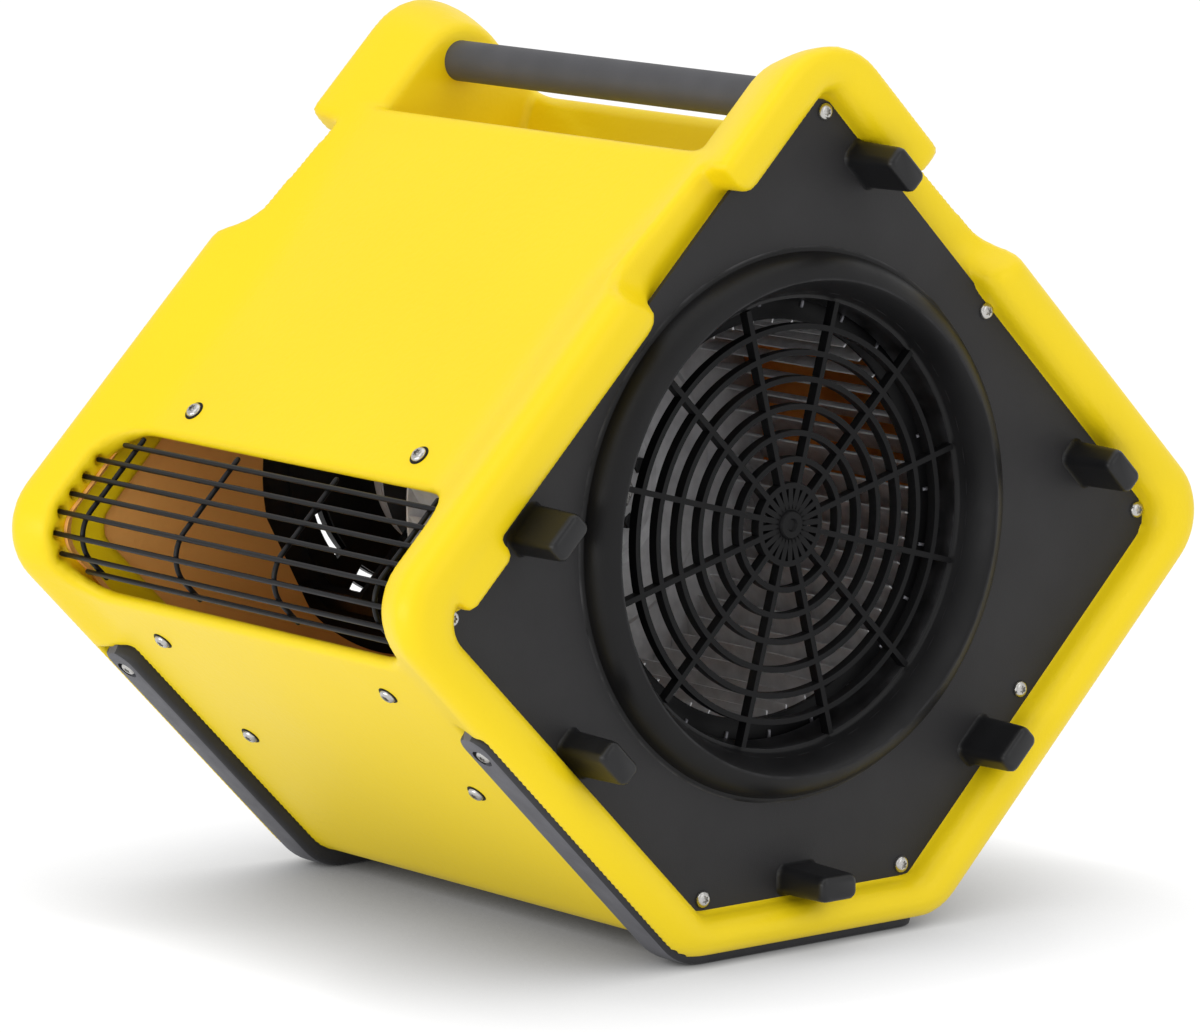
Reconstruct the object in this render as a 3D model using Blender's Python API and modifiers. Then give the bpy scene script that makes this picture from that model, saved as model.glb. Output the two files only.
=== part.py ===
"""Radial air mover: a diamond-section moulded housing with a side inlet and a front outlet.

Metres, +Z up. X is the fan axis with the inlet at +X, the outlet faces -Y, and the origin is on the
floor below the middle. Outlines are (y, z) points, and an inset is a distance inwards from the flanges.
"""

import math

import bmesh
import bpy
from mathutils import Matrix, Vector

# Housing
HALF_DIAGONAL = 0.328
DIAMOND_Z = 0.230
BASE_Z = 0.004
UPPER_INSET = 0.015
LOWER_INSET = 0.008
WALL = 0.005
RIM_X = 0.195
RIM_ROUND = 0.020
RIM_SLOPE = ((0.142, 0.017), (0.158, 0.0085), (0.168, 0.0022))
PANEL_X = 0.178
CAVITY_X = 0.162
LEDGE_X = 0.1747
LEDGE_INSET = 0.046
LEDGE_BASE_INSET = 0.040
LEDGE_TOP_Z = 0.428
APEX_RADIUS = 0.070
SIDE_RADIUS = 0.042
BASE_RADIUS = 0.040
RADIUS_EXTRA = 0.003
CUTTER_OVER = 0.010
EAR_END = 0.122
EAR_IN_X = 0.145
EAR_INSET = 0.0005
EAR_FOOT_Z = 0.4315
NOTCH_DEPTH = 0.0300
NOTCH_X = 0.170
NOTCH_ENTRY = -0.010
NOTCH_END = 0.200
FLANGE_START = 0.234
LIP = (0.061, 0.476)
TROUGH = (0.047, 0.438)
CAVITY_LIP = (0.0629, 0.4668)
CAVITY_TROUGH = (0.0505, 0.433)

# Volute and outlet
FAN_Y = -0.010
FAN_Z = 0.251
VOLUTE_START_RADIUS = 0.167
VOLUTE_END_RADIUS = 0.2215
VOLUTE_SWEEP = math.radians(270)
VOLUTE_WALL = 0.004
VOLUTE_X = 0.1744
VOLUTE_STEPS = 36
TONGUE = ((-0.1620, 0.3070), (-0.1570, 0.3095), (-0.1545, 0.3145))
OUTLET_X = 0.160
OUTLET_UP = 0.100
OUTLET_DOWN = 0.061
OUTLET_RADIUS = 0.030
ROOF_START = 0.104

# End plates, collar and guards
PLATE_INSET = 0.032
PLATE_BASE_INSET = 0.025
PLATE_GAP = 0.0004
PLATE_IN_X = 0.175
PLATE_OUT_X = 0.178
INLET_HOLE_RADIUS = 0.137
MOTOR_HOLE_RADIUS = 0.100
INLET_GUARD_X = (0.171, 0.174)
INLET_GUARD_REACH = 0.1322
MOTOR_GUARD_REACH = 0.0997
INLET_RINGS = (0.174, 0.29, 0.406, 0.522, 0.645, 0.761, 0.877)
MOTOR_RINGS = (0.25, 0.44, 0.63, 0.82)
GUARD_HUB = 0.0095
GUARD_BAR = 0.0036
SPOKES = 12
FIRST_SPOKE = math.radians(15)
COLLAR = (
    (0.1783, 0.1610), (0.1870, 0.1580), (0.1935, 0.1510), (0.1950, 0.1455), (0.1930, 0.1400),
    (0.1850, 0.1340), (0.1660, 0.1325), (0.1660, 0.1350), (0.1845, 0.1366), (0.1908, 0.1420),
    (0.1922, 0.1458), (0.1912, 0.1493), (0.1855, 0.1555), (0.1783, 0.1583),
)

# Feet on both end plates: (y, z, angle of the long side)
FEET = {
    "upper": (0.040, 0.459, -45),
    "rear": (0.220, 0.266, -45),
    "rear_low": (0.138, 0.106, 45),
    "base": (-0.005, 0.041, 0),
    "front_low": (-0.173, 0.136, -45),
    "front": (-0.211, 0.269, 45),
}
FOOT_LENGTH = 0.028
FOOT_WIDTH = 0.016
FOOT_TIP_X = 0.217

# Screws: (y, z) on the inlet plate, and (x, distance from the front corner) on the two front faces
PLATE_SCREWS = {
    "top": (0.009, 0.4916),
    "rear_up": (0.1395, 0.365),
    "rear": (0.268, 0.233),
    "rear_low": (0.173, 0.133),
    "base_rear": (0.078, 0.038),
    "base_front": (-0.078, 0.038),
    "front": (-0.266, 0.224),
    "front_up": (-0.1395, 0.365),
}
UPPER_SCREWS = {"near": (0.107, 0.120), "far": (-0.107, 0.120)}
LOWER_SCREWS = {
    "high_near": (0.108, 0.095),
    "high_far": (-0.108, 0.095),
    "low_near": (0.108, 0.187),
    "low_far": (-0.108, 0.187),
}
HEAD_RADIUS = 0.005
HEAD_HEIGHT = 0.0028
SHANK_RADIUS = 0.0022
PILOT_RADIUS = 0.0026
PLATE_SHANK = 0.0108
FACE_SHANK = 0.009

# Skids and handle
SKID_X = (0.158, 0.182)
SKID_FACE = 0.0025
SKID_BOTTOM = -0.004
SKID_BACK = 0.0105
SKID_ENTRY = -0.010
SKID_START = 0.112
SKID_END_Y = 0.088
SKID_SCREW = 0.129
SKID_SCREW_X = 0.170
SKID_GAP = 0.0003
HANDLE_Z = 0.496
HANDLE_RADIUS = 0.0125
HANDLE_BORE = 0.0105
HANDLE_HALF = 0.1655
SOCKET_RADIUS = 0.0128
SOCKET_END_X = 0.166

# Outlet grille
WIRE_RADIUS = 0.0015
WIRE_INSET = 0.0175
WIRE_GAP = 0.0006
WIRES = 8
CROSS_X = (-0.140, -0.047, 0.047, 0.140)
CROSS_OFFSET = 0.0025
CROSS_ENDS = (0.0966, 0.0576)

# Impeller and motor
BLADES = 48
BLADE_RADII = (0.1160, 0.1285, 0.1392)
BLADE_LEADS = (0.0, 2.8, 9.0)
BLADE_HALF_THICK = 0.0006
BLADE_X = (-0.008, 0.148)
BACK_DISC_X = (-0.010, -0.007)
FRONT_RING_X = (0.147, 0.150)
IMPELLER_RADIUS = 0.140
FRONT_RING_BORE = 0.117
SHAFT_RADIUS = 0.006
SHAFT_BORE = 0.0063
SHAFT_X = (-0.156, 0.0225)
HUB = (
    (-0.0067, 0.0450), (-0.0030, 0.0450), (-0.0030, 0.0240), (0.0110, 0.0200), (0.0150, 0.0200),
    (0.0150, SHAFT_BORE), (-0.0067, SHAFT_BORE),
)
NUT_X = (0.0153, 0.0220)
NUT_RADIUS = 0.0110
NUT_BORE = 0.0074
CASING = (
    (-0.0400, 0.0163), (-0.0400, 0.0530), (-0.0440, 0.0580), (-0.1400, 0.0580), (-0.1400, 0.0540),
    (-0.0460, 0.0540), (-0.0460, 0.0220), (-0.0520, 0.0220), (-0.0520, 0.0163),
)
END_BELL = (
    (-0.1403, 0.0163), (-0.1403, 0.0580), (-0.1460, 0.0580), (-0.1520, 0.0450), (-0.1520, 0.0163),
)
BEARING_RADIUS = 0.016
FRONT_BEARING_X = (-0.0515, -0.0415)
REAR_BEARING_X = (-0.1515, -0.1415)
STATOR_X = (-0.120, -0.070)
STATOR_RADII = (0.034, 0.0537)
WINDING_RADII = (0.036, 0.052)
FRONT_WINDING_X = (-0.0697, -0.0580)
REAR_WINDING_X = (-0.1320, -0.1203)
ROTOR_X = (-0.121, -0.069)
ROTOR_RADIUS = 0.0334
BAND_X = (-0.132, -0.108)
BAND_RADII = (0.0583, 0.0620)
ARM_THICK = 0.004
ARM_WIDTH = 0.020
ARM_REACH = 0.116
ARM_ROOT = 0.060
ARM_X = (-0.122, -0.118)
FOOT_PAD_X = -0.1747
PAD_REACH = 0.124

# Electrical parts on the motor plate
CAPACITOR_AT = (0.215, 0.250)
CAPACITOR_RADIUS = 0.013
CAPACITOR_X = (-0.1747, -0.110)
SWITCH_AT = (0.208, 0.205)
SWITCH_SIZE = (0.026, 0.030)
SWITCH_X = (-0.1747, -0.145)
SPINDLE_RADIUS = 0.003
SPINDLE_HOLE = 0.0045
SPINDLE_END_X = -0.168
SPINDLE_HOLE_END_X = -0.165
KNOB_RADIUS = 0.015
KNOB_X = (-0.196, -0.1803)
KNOB_GRIP = (0.0045, 0.026)
KNOB_GRIP_X = -0.201
GLAND_AT = (0.185, 0.165)
GLAND = (
    (-0.1910, 0.0040), (-0.1910, 0.0070), (-0.1860, 0.0095), (-0.1860, 0.0110), (-0.1783, 0.0110),
    (-0.1783, 0.0077), (-0.1650, 0.0077), (-0.1650, 0.0040),
)
GLAND_HOLE = 0.0086

# Facets
BIG_ARC = 6
SMALL_ARC = 2
COLLAR_SIDES = 44
ROUND_SIDES = 24
PIN_SIDES = 8

UP_FACE = "upper"
LOW_FACE = "lower"

MATERIALS = {
    "yellow_shell": ((0.90, 0.73, 0.035), 0.0, 0.42),
    "black_plastic": ((0.030, 0.029, 0.031), 0.0, 0.62),
    "gloss_black": ((0.012, 0.012, 0.014), 0.0, 0.38),
    "handle_grey": ((0.070, 0.070, 0.076), 0.0, 0.60),
    "skid_rubber": ((0.110, 0.110, 0.120), 0.0, 0.80),
    "coated_wire": ((0.016, 0.016, 0.018), 0.3, 0.45),
    "steel": ((0.62, 0.62, 0.63), 1.0, 0.30),
    "zinc": ((0.42, 0.43, 0.45), 1.0, 0.45),
    "cast_aluminium": ((0.55, 0.56, 0.57), 1.0, 0.50),
    "lamination": ((0.20, 0.20, 0.22), 0.8, 0.50),
    "copper_winding": ((0.60, 0.22, 0.08), 0.6, 0.45),
    "grey_plastic": ((0.20, 0.20, 0.21), 0.0, 0.55),
}


def clear_scene():
    for obj in list(bpy.data.objects):
        bpy.data.objects.remove(obj)


def make_materials():
    for name, (colour, metallic, roughness) in MATERIALS.items():
        material = bpy.data.materials.new(name)
        material.use_nodes = True
        shader = material.node_tree.nodes["Principled BSDF"]
        shader.inputs["Base Color"].default_value = (*colour, 1)
        shader.inputs["Metallic"].default_value = metallic
        shader.inputs["Roughness"].default_value = roughness


def make_collections():
    parts = bpy.data.collections.new("parts")
    tools = bpy.data.collections.new("tools")
    bpy.context.scene.collection.children.link(parts)
    bpy.context.scene.collection.children.link(tools)
    tools.hide_render = True


def add_mesh(name, mesh_data, material=None):
    """An object of this bmesh: a part if it has a material, else a tool for the Booleans."""
    bmesh.ops.recalc_face_normals(mesh_data, faces=mesh_data.faces)
    mesh = bpy.data.meshes.new(name)
    mesh_data.to_mesh(mesh)
    mesh_data.free()
    obj = bpy.data.objects.new(name, mesh)
    if material:
        mesh.materials.append(bpy.data.materials[material])
        bpy.data.collections["parts"].objects.link(obj)
    else:
        obj.hide_render = True
        obj.display_type = "WIRE"
        bpy.data.collections["tools"].objects.link(obj)
    return obj


def combine(obj, tool, operation):
    modifier = obj.modifiers.new(tool.name, "BOOLEAN")
    modifier.operation = operation
    modifier.solver = "EXACT"
    modifier.object = tool


# Outlines


def rounded(corners):
    """The closed outline through (y, z, radius, steps) corners, each turned into an arc."""
    outline = []
    for index, (y, z, radius, steps) in enumerate(corners):
        corner = Vector((y, z))
        following = corners[(index + 1) % len(corners)]
        before = (Vector(corners[index - 1][:2]) - corner).normalized()
        after = (Vector(following[:2]) - corner).normalized()
        half = math.acos(max(-1, min(1, before.dot(after)))) / 2
        middle = corner + (before + after).normalized() * radius / math.sin(half)
        start = corner + before * radius / math.tan(half) - middle
        end = corner + after * radius / math.tan(half) - middle
        turn = math.atan2(start.x * end.y - start.y * end.x, start.dot(end))
        for step in range(steps + 1):
            outline.append(middle + Matrix.Rotation(turn * step / steps, 2) @ start)
    return [tuple(point) for point in outline]


def on_face(side, face, along, inset):
    """The (y, z) point this far along a face: from the apex on the upper, else from the side corner."""
    step = along / math.sqrt(2)
    deep = inset / math.sqrt(2)
    if face == UP_FACE:
        return side * (step - deep), DIAMOND_Z + HALF_DIAGONAL - step - deep
    return side * (HALF_DIAGONAL - step - deep), DIAMOND_Z - step + deep


def from_front(face, along, inset):
    """The (y, z) point this far from the front corner on either front face."""
    if face == UP_FACE:
        return on_face(-1, UP_FACE, HALF_DIAGONAL * math.sqrt(2) - along, inset)
    return on_face(-1, LOW_FACE, along, inset)


def base_corner(side, inset, base_inset):
    z = BASE_Z + base_inset
    return side * (HALF_DIAGONAL - inset * math.sqrt(2) - (DIAMOND_Z - z)), z


def side_and_base(upper, lower, base_inset, side_radius, base_radius, steps=BIG_ARC):
    """The corners from the rear round the base to the front, for any outline of the housing."""
    side_y = HALF_DIAGONAL - (upper + lower) / 2 * math.sqrt(2)
    side_z = DIAMOND_Z - (upper - lower) / 2 * math.sqrt(2)
    return [
        (side_y, side_z, side_radius, steps),
        (*base_corner(1, lower, base_inset), base_radius, steps // 2),
        (*base_corner(-1, lower, base_inset), base_radius, steps // 2),
        (-side_y, side_z, side_radius, steps),
    ]


def flange_outline(inset):
    """The end flange's outline before it is notched."""
    apex = (0, DIAMOND_Z + HALF_DIAGONAL - inset * math.sqrt(2), APEX_RADIUS - inset, BIG_ARC + 2)
    return rounded([
        apex, *side_and_base(inset, inset, inset, SIDE_RADIUS - inset, BASE_RADIUS - inset)
    ])


def trough_outline(upper, lower, lip, trough):
    """The middle section's outline, with the hand trough under the handle."""
    side_radius = SIDE_RADIUS + RADIUS_EXTRA - upper
    base_radius = BASE_RADIUS + RADIUS_EXTRA - lower
    around = side_and_base(upper, lower, lower, side_radius, base_radius, BIG_ARC - 1)
    lip_radius = 0.005
    trough_radius = 0.012
    top = [(*lip, lip_radius, SMALL_ARC), (*trough, trough_radius, SMALL_ARC)]
    mirrored = [(-y, z, radius, steps) for y, z, radius, steps in top]
    return rounded([top[1], top[0], *around, mirrored[0], mirrored[1]])


def ear_outline():
    """The ear's inner part, kept just inside the flange so that the two meet with no shared faces."""
    end = EAR_END - EAR_INSET
    right = [
        (*on_face(1, UP_FACE, end, EAR_INSET), 0.006, SMALL_ARC),
        (*on_face(1, UP_FACE, end, UPPER_INSET + 0.003), 0.003, SMALL_ARC),
        (LIP[0], EAR_FOOT_Z, 0.003, SMALL_ARC),
    ]
    left = [(-y, z, radius, steps) for y, z, radius, steps in reversed(right)]
    apex_z = DIAMOND_Z + HALF_DIAGONAL - EAR_INSET * math.sqrt(2)
    return rounded([(0, apex_z, APEX_RADIUS, BIG_ARC + 2), *right, *left])


def plate_outline(gap):
    inset = PLATE_INSET + gap
    apex = (0, DIAMOND_Z + HALF_DIAGONAL - inset * math.sqrt(2), 0.030 - gap, BIG_ARC)
    around = side_and_base(inset, inset, PLATE_BASE_INSET + gap, 0.020 - gap, 0.015 - gap)
    return rounded([apex, *around])


def ledge_outline():
    """The clear opening inside the ledge that the end plate rests on."""
    reach = HALF_DIAGONAL - LEDGE_INSET * math.sqrt(2) - (LEDGE_TOP_Z - DIAMOND_Z)
    around = side_and_base(LEDGE_INSET, LEDGE_INSET, LEDGE_BASE_INSET, 0.015, 0.012)
    top = (reach, LEDGE_TOP_Z, 0.010, SMALL_ARC)
    return rounded([(-top[0], *top[1:]), top, *around])


def band_outline(path, thickness):
    """The outline of a wall of this thickness along an open (y, z) path."""
    points = [Vector(point) for point in path]
    sides = ([], [])
    for index, point in enumerate(points):
        ahead = points[min(index + 1, len(points) - 1)] - points[max(index - 1, 0)]
        across = Vector((-ahead.y, ahead.x)).normalized() * thickness / 2
        sides[0].append(tuple(point + across))
        sides[1].append(tuple(point - across))
    return sides[0] + sides[1][::-1]


def slab_outline(at, size, angle, radius):
    """A rounded rectangle about a (y, z) point, turned by an angle in degrees."""
    half_y = size[0] / 2
    half_z = size[1] / 2
    square = ((-half_y, -half_z), (half_y, -half_z), (half_y, half_z), (-half_y, half_z))
    turn = Matrix.Rotation(math.radians(angle), 2)
    corners = [Vector(at) + turn @ Vector(corner) for corner in square]
    return rounded([(*corner, radius, SMALL_ARC) for corner in corners])


def circle(centre, radius, sides):
    turns = [2 * math.pi * index / sides for index in range(sides)]
    return [(centre[0] + radius * math.cos(t), centre[1] + radius * math.sin(t)) for t in turns]


# Solids


def loft(name, sections, material=None, place=Matrix.Identity(4)):
    """A solid through (x, outline) sections that all have the same number of points."""
    built = bmesh.new()
    loops = []
    for x, outline in sections:
        loops.append([built.verts.new(place @ Vector((x, y, z))) for y, z in outline])
    for lower, upper in zip(loops, loops[1:]):
        for index in range(len(lower)):
            following = (index + 1) % len(lower)
            built.faces.new((lower[index], lower[following], upper[following], upper[index]))
    built.faces.new(loops[0])
    built.faces.new(loops[-1])
    return add_mesh(name, built, material)


def prism(name, outline, x_range, material=None):
    return loft(name, [(x_range[0], outline), (x_range[1], outline)], material)


def turned(name, profile, centre, sides, material):
    """A ring of this closed (x, radius) profile about a line along X, made by a Screw."""
    built = bmesh.new()
    area = sum(b[0] * a[1] - a[0] * b[1] for a, b in zip(profile, [*profile[1:], profile[0]]))
    outward = profile if area < 0 else profile[::-1]
    points = [built.verts.new((x, radius, 0)) for x, radius in outward]
    for index, point in enumerate(points):
        built.edges.new((point, points[(index + 1) % len(points)]))
    mesh = bpy.data.meshes.new(name)
    built.to_mesh(mesh)
    built.free()
    mesh.materials.append(bpy.data.materials[material])
    obj = bpy.data.objects.new(name, mesh)
    bpy.data.collections["parts"].objects.link(obj)
    obj.location = (0, *centre)
    screw = obj.modifiers.new("turn", "SCREW")
    screw.axis = "X"
    screw.steps = sides
    screw.render_steps = sides
    screw.use_merge_vertices = True
    screw.merge_threshold = 0.00001
    return obj


def ring(name, x_range, radii, material, sides=ROUND_SIDES):
    low, high = x_range
    profile = ((low, radii[0]), (low, radii[1]), (high, radii[1]), (high, radii[0]))
    return turned(name, profile, (FAN_Y, FAN_Z), sides, material)


def add_rod(built, start, end, radius, sides):
    """A closed rod between two points, added to a bmesh."""
    start = Vector(start)
    end = Vector(end)
    along = end - start
    turn = along.to_track_quat("Z", "Y").to_matrix().to_4x4()
    place = Matrix.Translation((start + end) / 2) @ turn
    size = {"radius1": radius, "radius2": radius, "depth": along.length}
    bmesh.ops.create_cone(built, cap_ends=True, segments=sides, matrix=place, **size)


def rods(name, ends, radius, sides=PIN_SIDES, material=None):
    built = bmesh.new()
    for start, end in ends:
        add_rod(built, start, end, radius, sides)
    return add_mesh(name, built, material)


def lattice_points(radius, cells):
    """The angles of one ring of the lattice: each spoke has two sides, with cells between spokes."""
    half = math.asin(min(1, GUARD_BAR / 2 / radius))
    step = 2 * math.pi / SPOKES
    angles = []
    for spoke in range(SPOKES):
        middle = FIRST_SPOKE + spoke * step
        angles.append(middle - half)
        for cell in range(cells):
            angles.append(middle + half + (step - 2 * half) * cell / cells)
    return angles


def guard(name, x_range, rings, reach, cells):
    """Flat concentric rings on radial spokes, built as one polar grid of solid and open cells."""
    radii = [GUARD_HUB]
    for fraction in rings:
        middle = fraction * reach
        radii += [middle - GUARD_BAR / 2, middle + GUARD_BAR / 2]
    radii.append(reach)
    built = bmesh.new()
    grids = []
    for x in x_range:
        rows = []
        for radius in radii:
            points = []
            for angle in lattice_points(radius, cells):
                y = FAN_Y + radius * math.cos(angle)
                points.append(built.verts.new((x, y, FAN_Z + radius * math.sin(angle))))
            rows.append(points)
        grids.append((built.verts.new((x, FAN_Y, FAN_Z)), rows))
    count = len(grids[0][1][0])

    def solid(band, index):
        on_ring = band % 2 == 1
        return 0 <= band < len(radii) - 1 and (on_ring or index % (cells + 1) == 0)

    for centre, rows in grids:
        for index in range(count):
            following = (index + 1) % count
            built.faces.new((centre, rows[0][index], rows[0][following]))
            for band in range(len(radii) - 1):
                if solid(band, index):
                    inner, outer = rows[band], rows[band + 1]
                    built.faces.new((inner[index], inner[following], outer[following], outer[index]))
    back, front = grids[0][1], grids[1][1]
    for index in range(count):
        following = (index + 1) % count
        for band in range(-1, len(radii) - 1):
            here = band < 0 or solid(band, index)
            if here != solid(band + 1, index):
                row = band + 1
                built.faces.new(
                    (back[row][index], back[row][following], front[row][following], front[row][index])
                )
            if band >= 0 and here != solid(band, index - 1):
                built.faces.new(
                    (back[band][index], back[band + 1][index], front[band + 1][index], front[band][index])
                )
    loose = [vert for vert in built.verts if not vert.link_faces]
    bmesh.ops.delete(built, geom=loose, context="VERTS")
    return add_mesh(name, built, "black_plastic")


# Sub-parts


def face_axis(face):
    """The outward direction of a front face."""
    rise = 1 if face == UP_FACE else -1
    return Vector((0, -1, rise)).normalized()


def volute_path():
    """The volute wall's middle line: outlet roof, tongue, then the spiral round to the lower front."""
    path = [from_front(UP_FACE, ROOF_START, WIRE_INSET), *TONGUE]
    for step in range(VOLUTE_STEPS + 1):
        share = step / VOLUTE_STEPS
        angle = math.radians(135) - share * VOLUTE_SWEEP
        radius = VOLUTE_START_RADIUS + share * (VOLUTE_END_RADIUS - VOLUTE_START_RADIUS)
        path.append((FAN_Y + radius * math.cos(angle), FAN_Z + radius * math.sin(angle)))
    return path


def face_cutter(name, outline, insets, place):
    """A cutter through a face: place turns each (x, along) point and an inset into (y, z)."""
    built = bmesh.new()
    loops = []
    for inset in insets:
        points = [(x, *place(along, inset)) for x, along in outline]
        loops.append([built.verts.new(point) for point in points])
    for index in range(len(outline)):
        following = (index + 1) % len(outline)
        built.faces.new((loops[0][index], loops[0][following], loops[1][following], loops[1][index]))
    built.faces.new(loops[0])
    built.faces.new(loops[1])
    return add_mesh(name, built)


def outlet_cutter(face, height):
    """A cutter along a face's normal, over the part of the outlet that lies in that face."""
    low = -0.020
    outline = rounded([
        (-OUTLET_X, low, 0.002, 1),
        (OUTLET_X, low, 0.002, 1),
        (OUTLET_X, height, OUTLET_RADIUS, BIG_ARC),
        (-OUTLET_X, height, OUTLET_RADIUS, BIG_ARC),
    ])
    return face_cutter(
        f"outlet_{face}", outline, (-0.008, 0.030), lambda along, inset: from_front(face, along, inset)
    )


def notch_cutter(side, end, facing):
    """It cuts a flange back in X between the end of its ear and the slope down to the side."""
    over_x = RIM_X + CUTTER_OVER
    over = FLANGE_START + (FLANGE_START - NOTCH_END) * CUTTER_OVER / (RIM_X - NOTCH_X)
    outline = rounded([
        (side * NOTCH_X, EAR_END, 0.006, SMALL_ARC),
        (side * NOTCH_X, NOTCH_END, 0.015, SMALL_ARC),
        (side * over_x, over, 0.0001, 1),
        (side * over_x, EAR_END, 0.0001, 1),
    ])
    return face_cutter(
        f"notch_{end}_{facing}", outline, (NOTCH_ENTRY, NOTCH_DEPTH),
        lambda along, inset: on_face(facing, UP_FACE, along, inset),
    )


def rim_sections(side):
    """The end flange: it rises from the panel, and its outer edge is rounded."""
    sections = list(RIM_SLOPE)
    for degrees in (0, 30, 60, 90):
        turn = math.radians(degrees)
        x = RIM_X - RIM_ROUND + RIM_ROUND * math.sin(turn)
        sections.append((x, RIM_ROUND * (1 - math.cos(turn))))
    return [(side * x, flange_outline(inset)) for x, inset in sections]


def screw_holes():
    """Pilot holes for every screw in the housing, as one cutter."""
    built = bmesh.new()
    deep = PLATE_OUT_X - PLATE_SHANK - 0.0004
    for y, z in PLATE_SCREWS.values():
        for side in (-1, 1):
            add_rod(built, (side * deep, y, z), (side * RIM_X, y, z), PILOT_RADIUS, PIN_SIDES)
    for face, places in ((UP_FACE, UPPER_SCREWS), (LOW_FACE, LOWER_SCREWS)):
        for x, along in places.values():
            inner = (x, *from_front(face, along, 0.030))
            outer = (x, *from_front(face, along, 0.0))
            add_rod(built, inner, outer, PILOT_RADIUS, PIN_SIDES)
    for side in (-1, 1):
        inner = (side * SKID_SCREW_X, *from_front(LOW_FACE, SKID_SCREW, 0.022))
        outer = (side * SKID_SCREW_X, *from_front(LOW_FACE, SKID_SCREW, -0.008))
        add_rod(built, inner, outer, PILOT_RADIUS, PIN_SIDES)
    return add_mesh("screw_holes", built)


def skid_outline(face, bottom, back, gap):
    """The skid's side view: down the lower front face, round the bend and along the base."""
    loops = []
    for inset, base_inset, direction in ((face, bottom, 1), (back, back, -1)):
        corner = base_corner(-1, inset, base_inset)
        start = on_face(-1, LOW_FACE, SKID_START - gap, inset)
        bend = rounded([
            (*start, 0.0001, 1),
            (*corner, BASE_RADIUS - inset, BIG_ARC),
            (SKID_END_Y + gap, corner[1], 0.0001, 1),
        ])
        middle = bend[2:-2]
        loops.append([start, *middle, (SKID_END_Y + gap, corner[1])][::direction])
    return loops[0] + loops[1]


def add_housing():
    housing = prism("housing", trough_outline(UPPER_INSET, LOWER_INSET, LIP, TROUGH), (-PANEL_X, PANEL_X), "yellow_shell")
    for side, end in ((1, "near"), (-1, "far")):
        combine(housing, loft(f"rim_{end}", rim_sections(side)), "UNION")
        ear = prism(f"ear_{end}", ear_outline(), (side * EAR_IN_X, side * (RIM_X - RIM_ROUND)))
        combine(housing, ear, "UNION")
    cavity = trough_outline(UPPER_INSET + WALL, LOWER_INSET + WALL, CAVITY_LIP, CAVITY_TROUGH)
    combine(housing, prism("cavity", cavity, (-CAVITY_X, CAVITY_X)), "DIFFERENCE")
    over = RIM_X + CUTTER_OVER
    combine(housing, prism("ledge", ledge_outline(), (-LEDGE_X - 0.001, LEDGE_X + 0.001)), "DIFFERENCE")
    for side, end in ((1, "near"), (-1, "far")):
        recess = prism(f"recess_{end}", plate_outline(0), (side * LEDGE_X, side * over))
        combine(housing, recess, "DIFFERENCE")
        groove = skid_outline(SKID_ENTRY, SKID_ENTRY, SKID_BACK + SKID_GAP, SKID_GAP)
        reach = (side * (SKID_X[0] - SKID_GAP), side * (SKID_X[1] + SKID_GAP))
        combine(housing, prism(f"groove_{end}", groove, reach), "DIFFERENCE")
    volute = prism("volute", band_outline(volute_path(), VOLUTE_WALL), (-VOLUTE_X, VOLUTE_X))
    combine(housing, volute, "UNION")
    combine(housing, outlet_cutter(UP_FACE, OUTLET_UP), "DIFFERENCE")
    combine(housing, outlet_cutter(LOW_FACE, OUTLET_DOWN), "DIFFERENCE")
    for side, end in ((1, "near"), (-1, "far")):
        for facing in (1, -1):
            combine(housing, notch_cutter(side, end, facing), "DIFFERENCE")
    combine(housing, screw_holes(), "DIFFERENCE")
    sockets = [
        ((side * (EAR_IN_X - 0.005), 0, HANDLE_Z), (side * SOCKET_END_X, 0, HANDLE_Z)) for side in (-1, 1)
    ]
    combine(housing, rods("sockets", sockets, SOCKET_RADIUS, ROUND_SIDES), "DIFFERENCE")


def add_plate(name, side, hole_radius, extra_holes):
    plate = prism(name, plate_outline(PLATE_GAP), (side * PLATE_IN_X, side * PLATE_OUT_X), "black_plastic")
    low = side * (PLATE_IN_X - CUTTER_OVER)
    high = side * (PLATE_OUT_X + CUTTER_OVER)
    opening = prism(f"{name}_opening", circle((FAN_Y, FAN_Z), hole_radius, COLLAR_SIDES), (low, high))
    combine(plate, opening, "DIFFERENCE")
    built = bmesh.new()
    holes = [(place, PILOT_RADIUS) for place in PLATE_SCREWS.values()]
    for (y, z), radius in holes + extra_holes:
        add_rod(built, (low, y, z), (high, y, z), radius, PIN_SIDES)
    combine(plate, add_mesh(f"{name}_holes", built), "DIFFERENCE")


def add_feet(prefix, side):
    start = PLATE_OUT_X + 0.0003
    for place, (y, z, angle) in FEET.items():
        full = slab_outline((y, z), (FOOT_LENGTH, FOOT_WIDTH), angle, 0.0045)
        tip = slab_outline((y, z), (FOOT_LENGTH - 0.002, FOOT_WIDTH - 0.002), angle, 0.0038)
        end = slab_outline((y, z), (FOOT_LENGTH - 0.005, FOOT_WIDTH - 0.005), angle, 0.0030)
        sections = [(side * start, full), (side * (FOOT_TIP_X - 0.0015), tip), (side * FOOT_TIP_X, end)]
        loft(f"{prefix}_foot_{place}", sections, "gloss_black")


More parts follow.
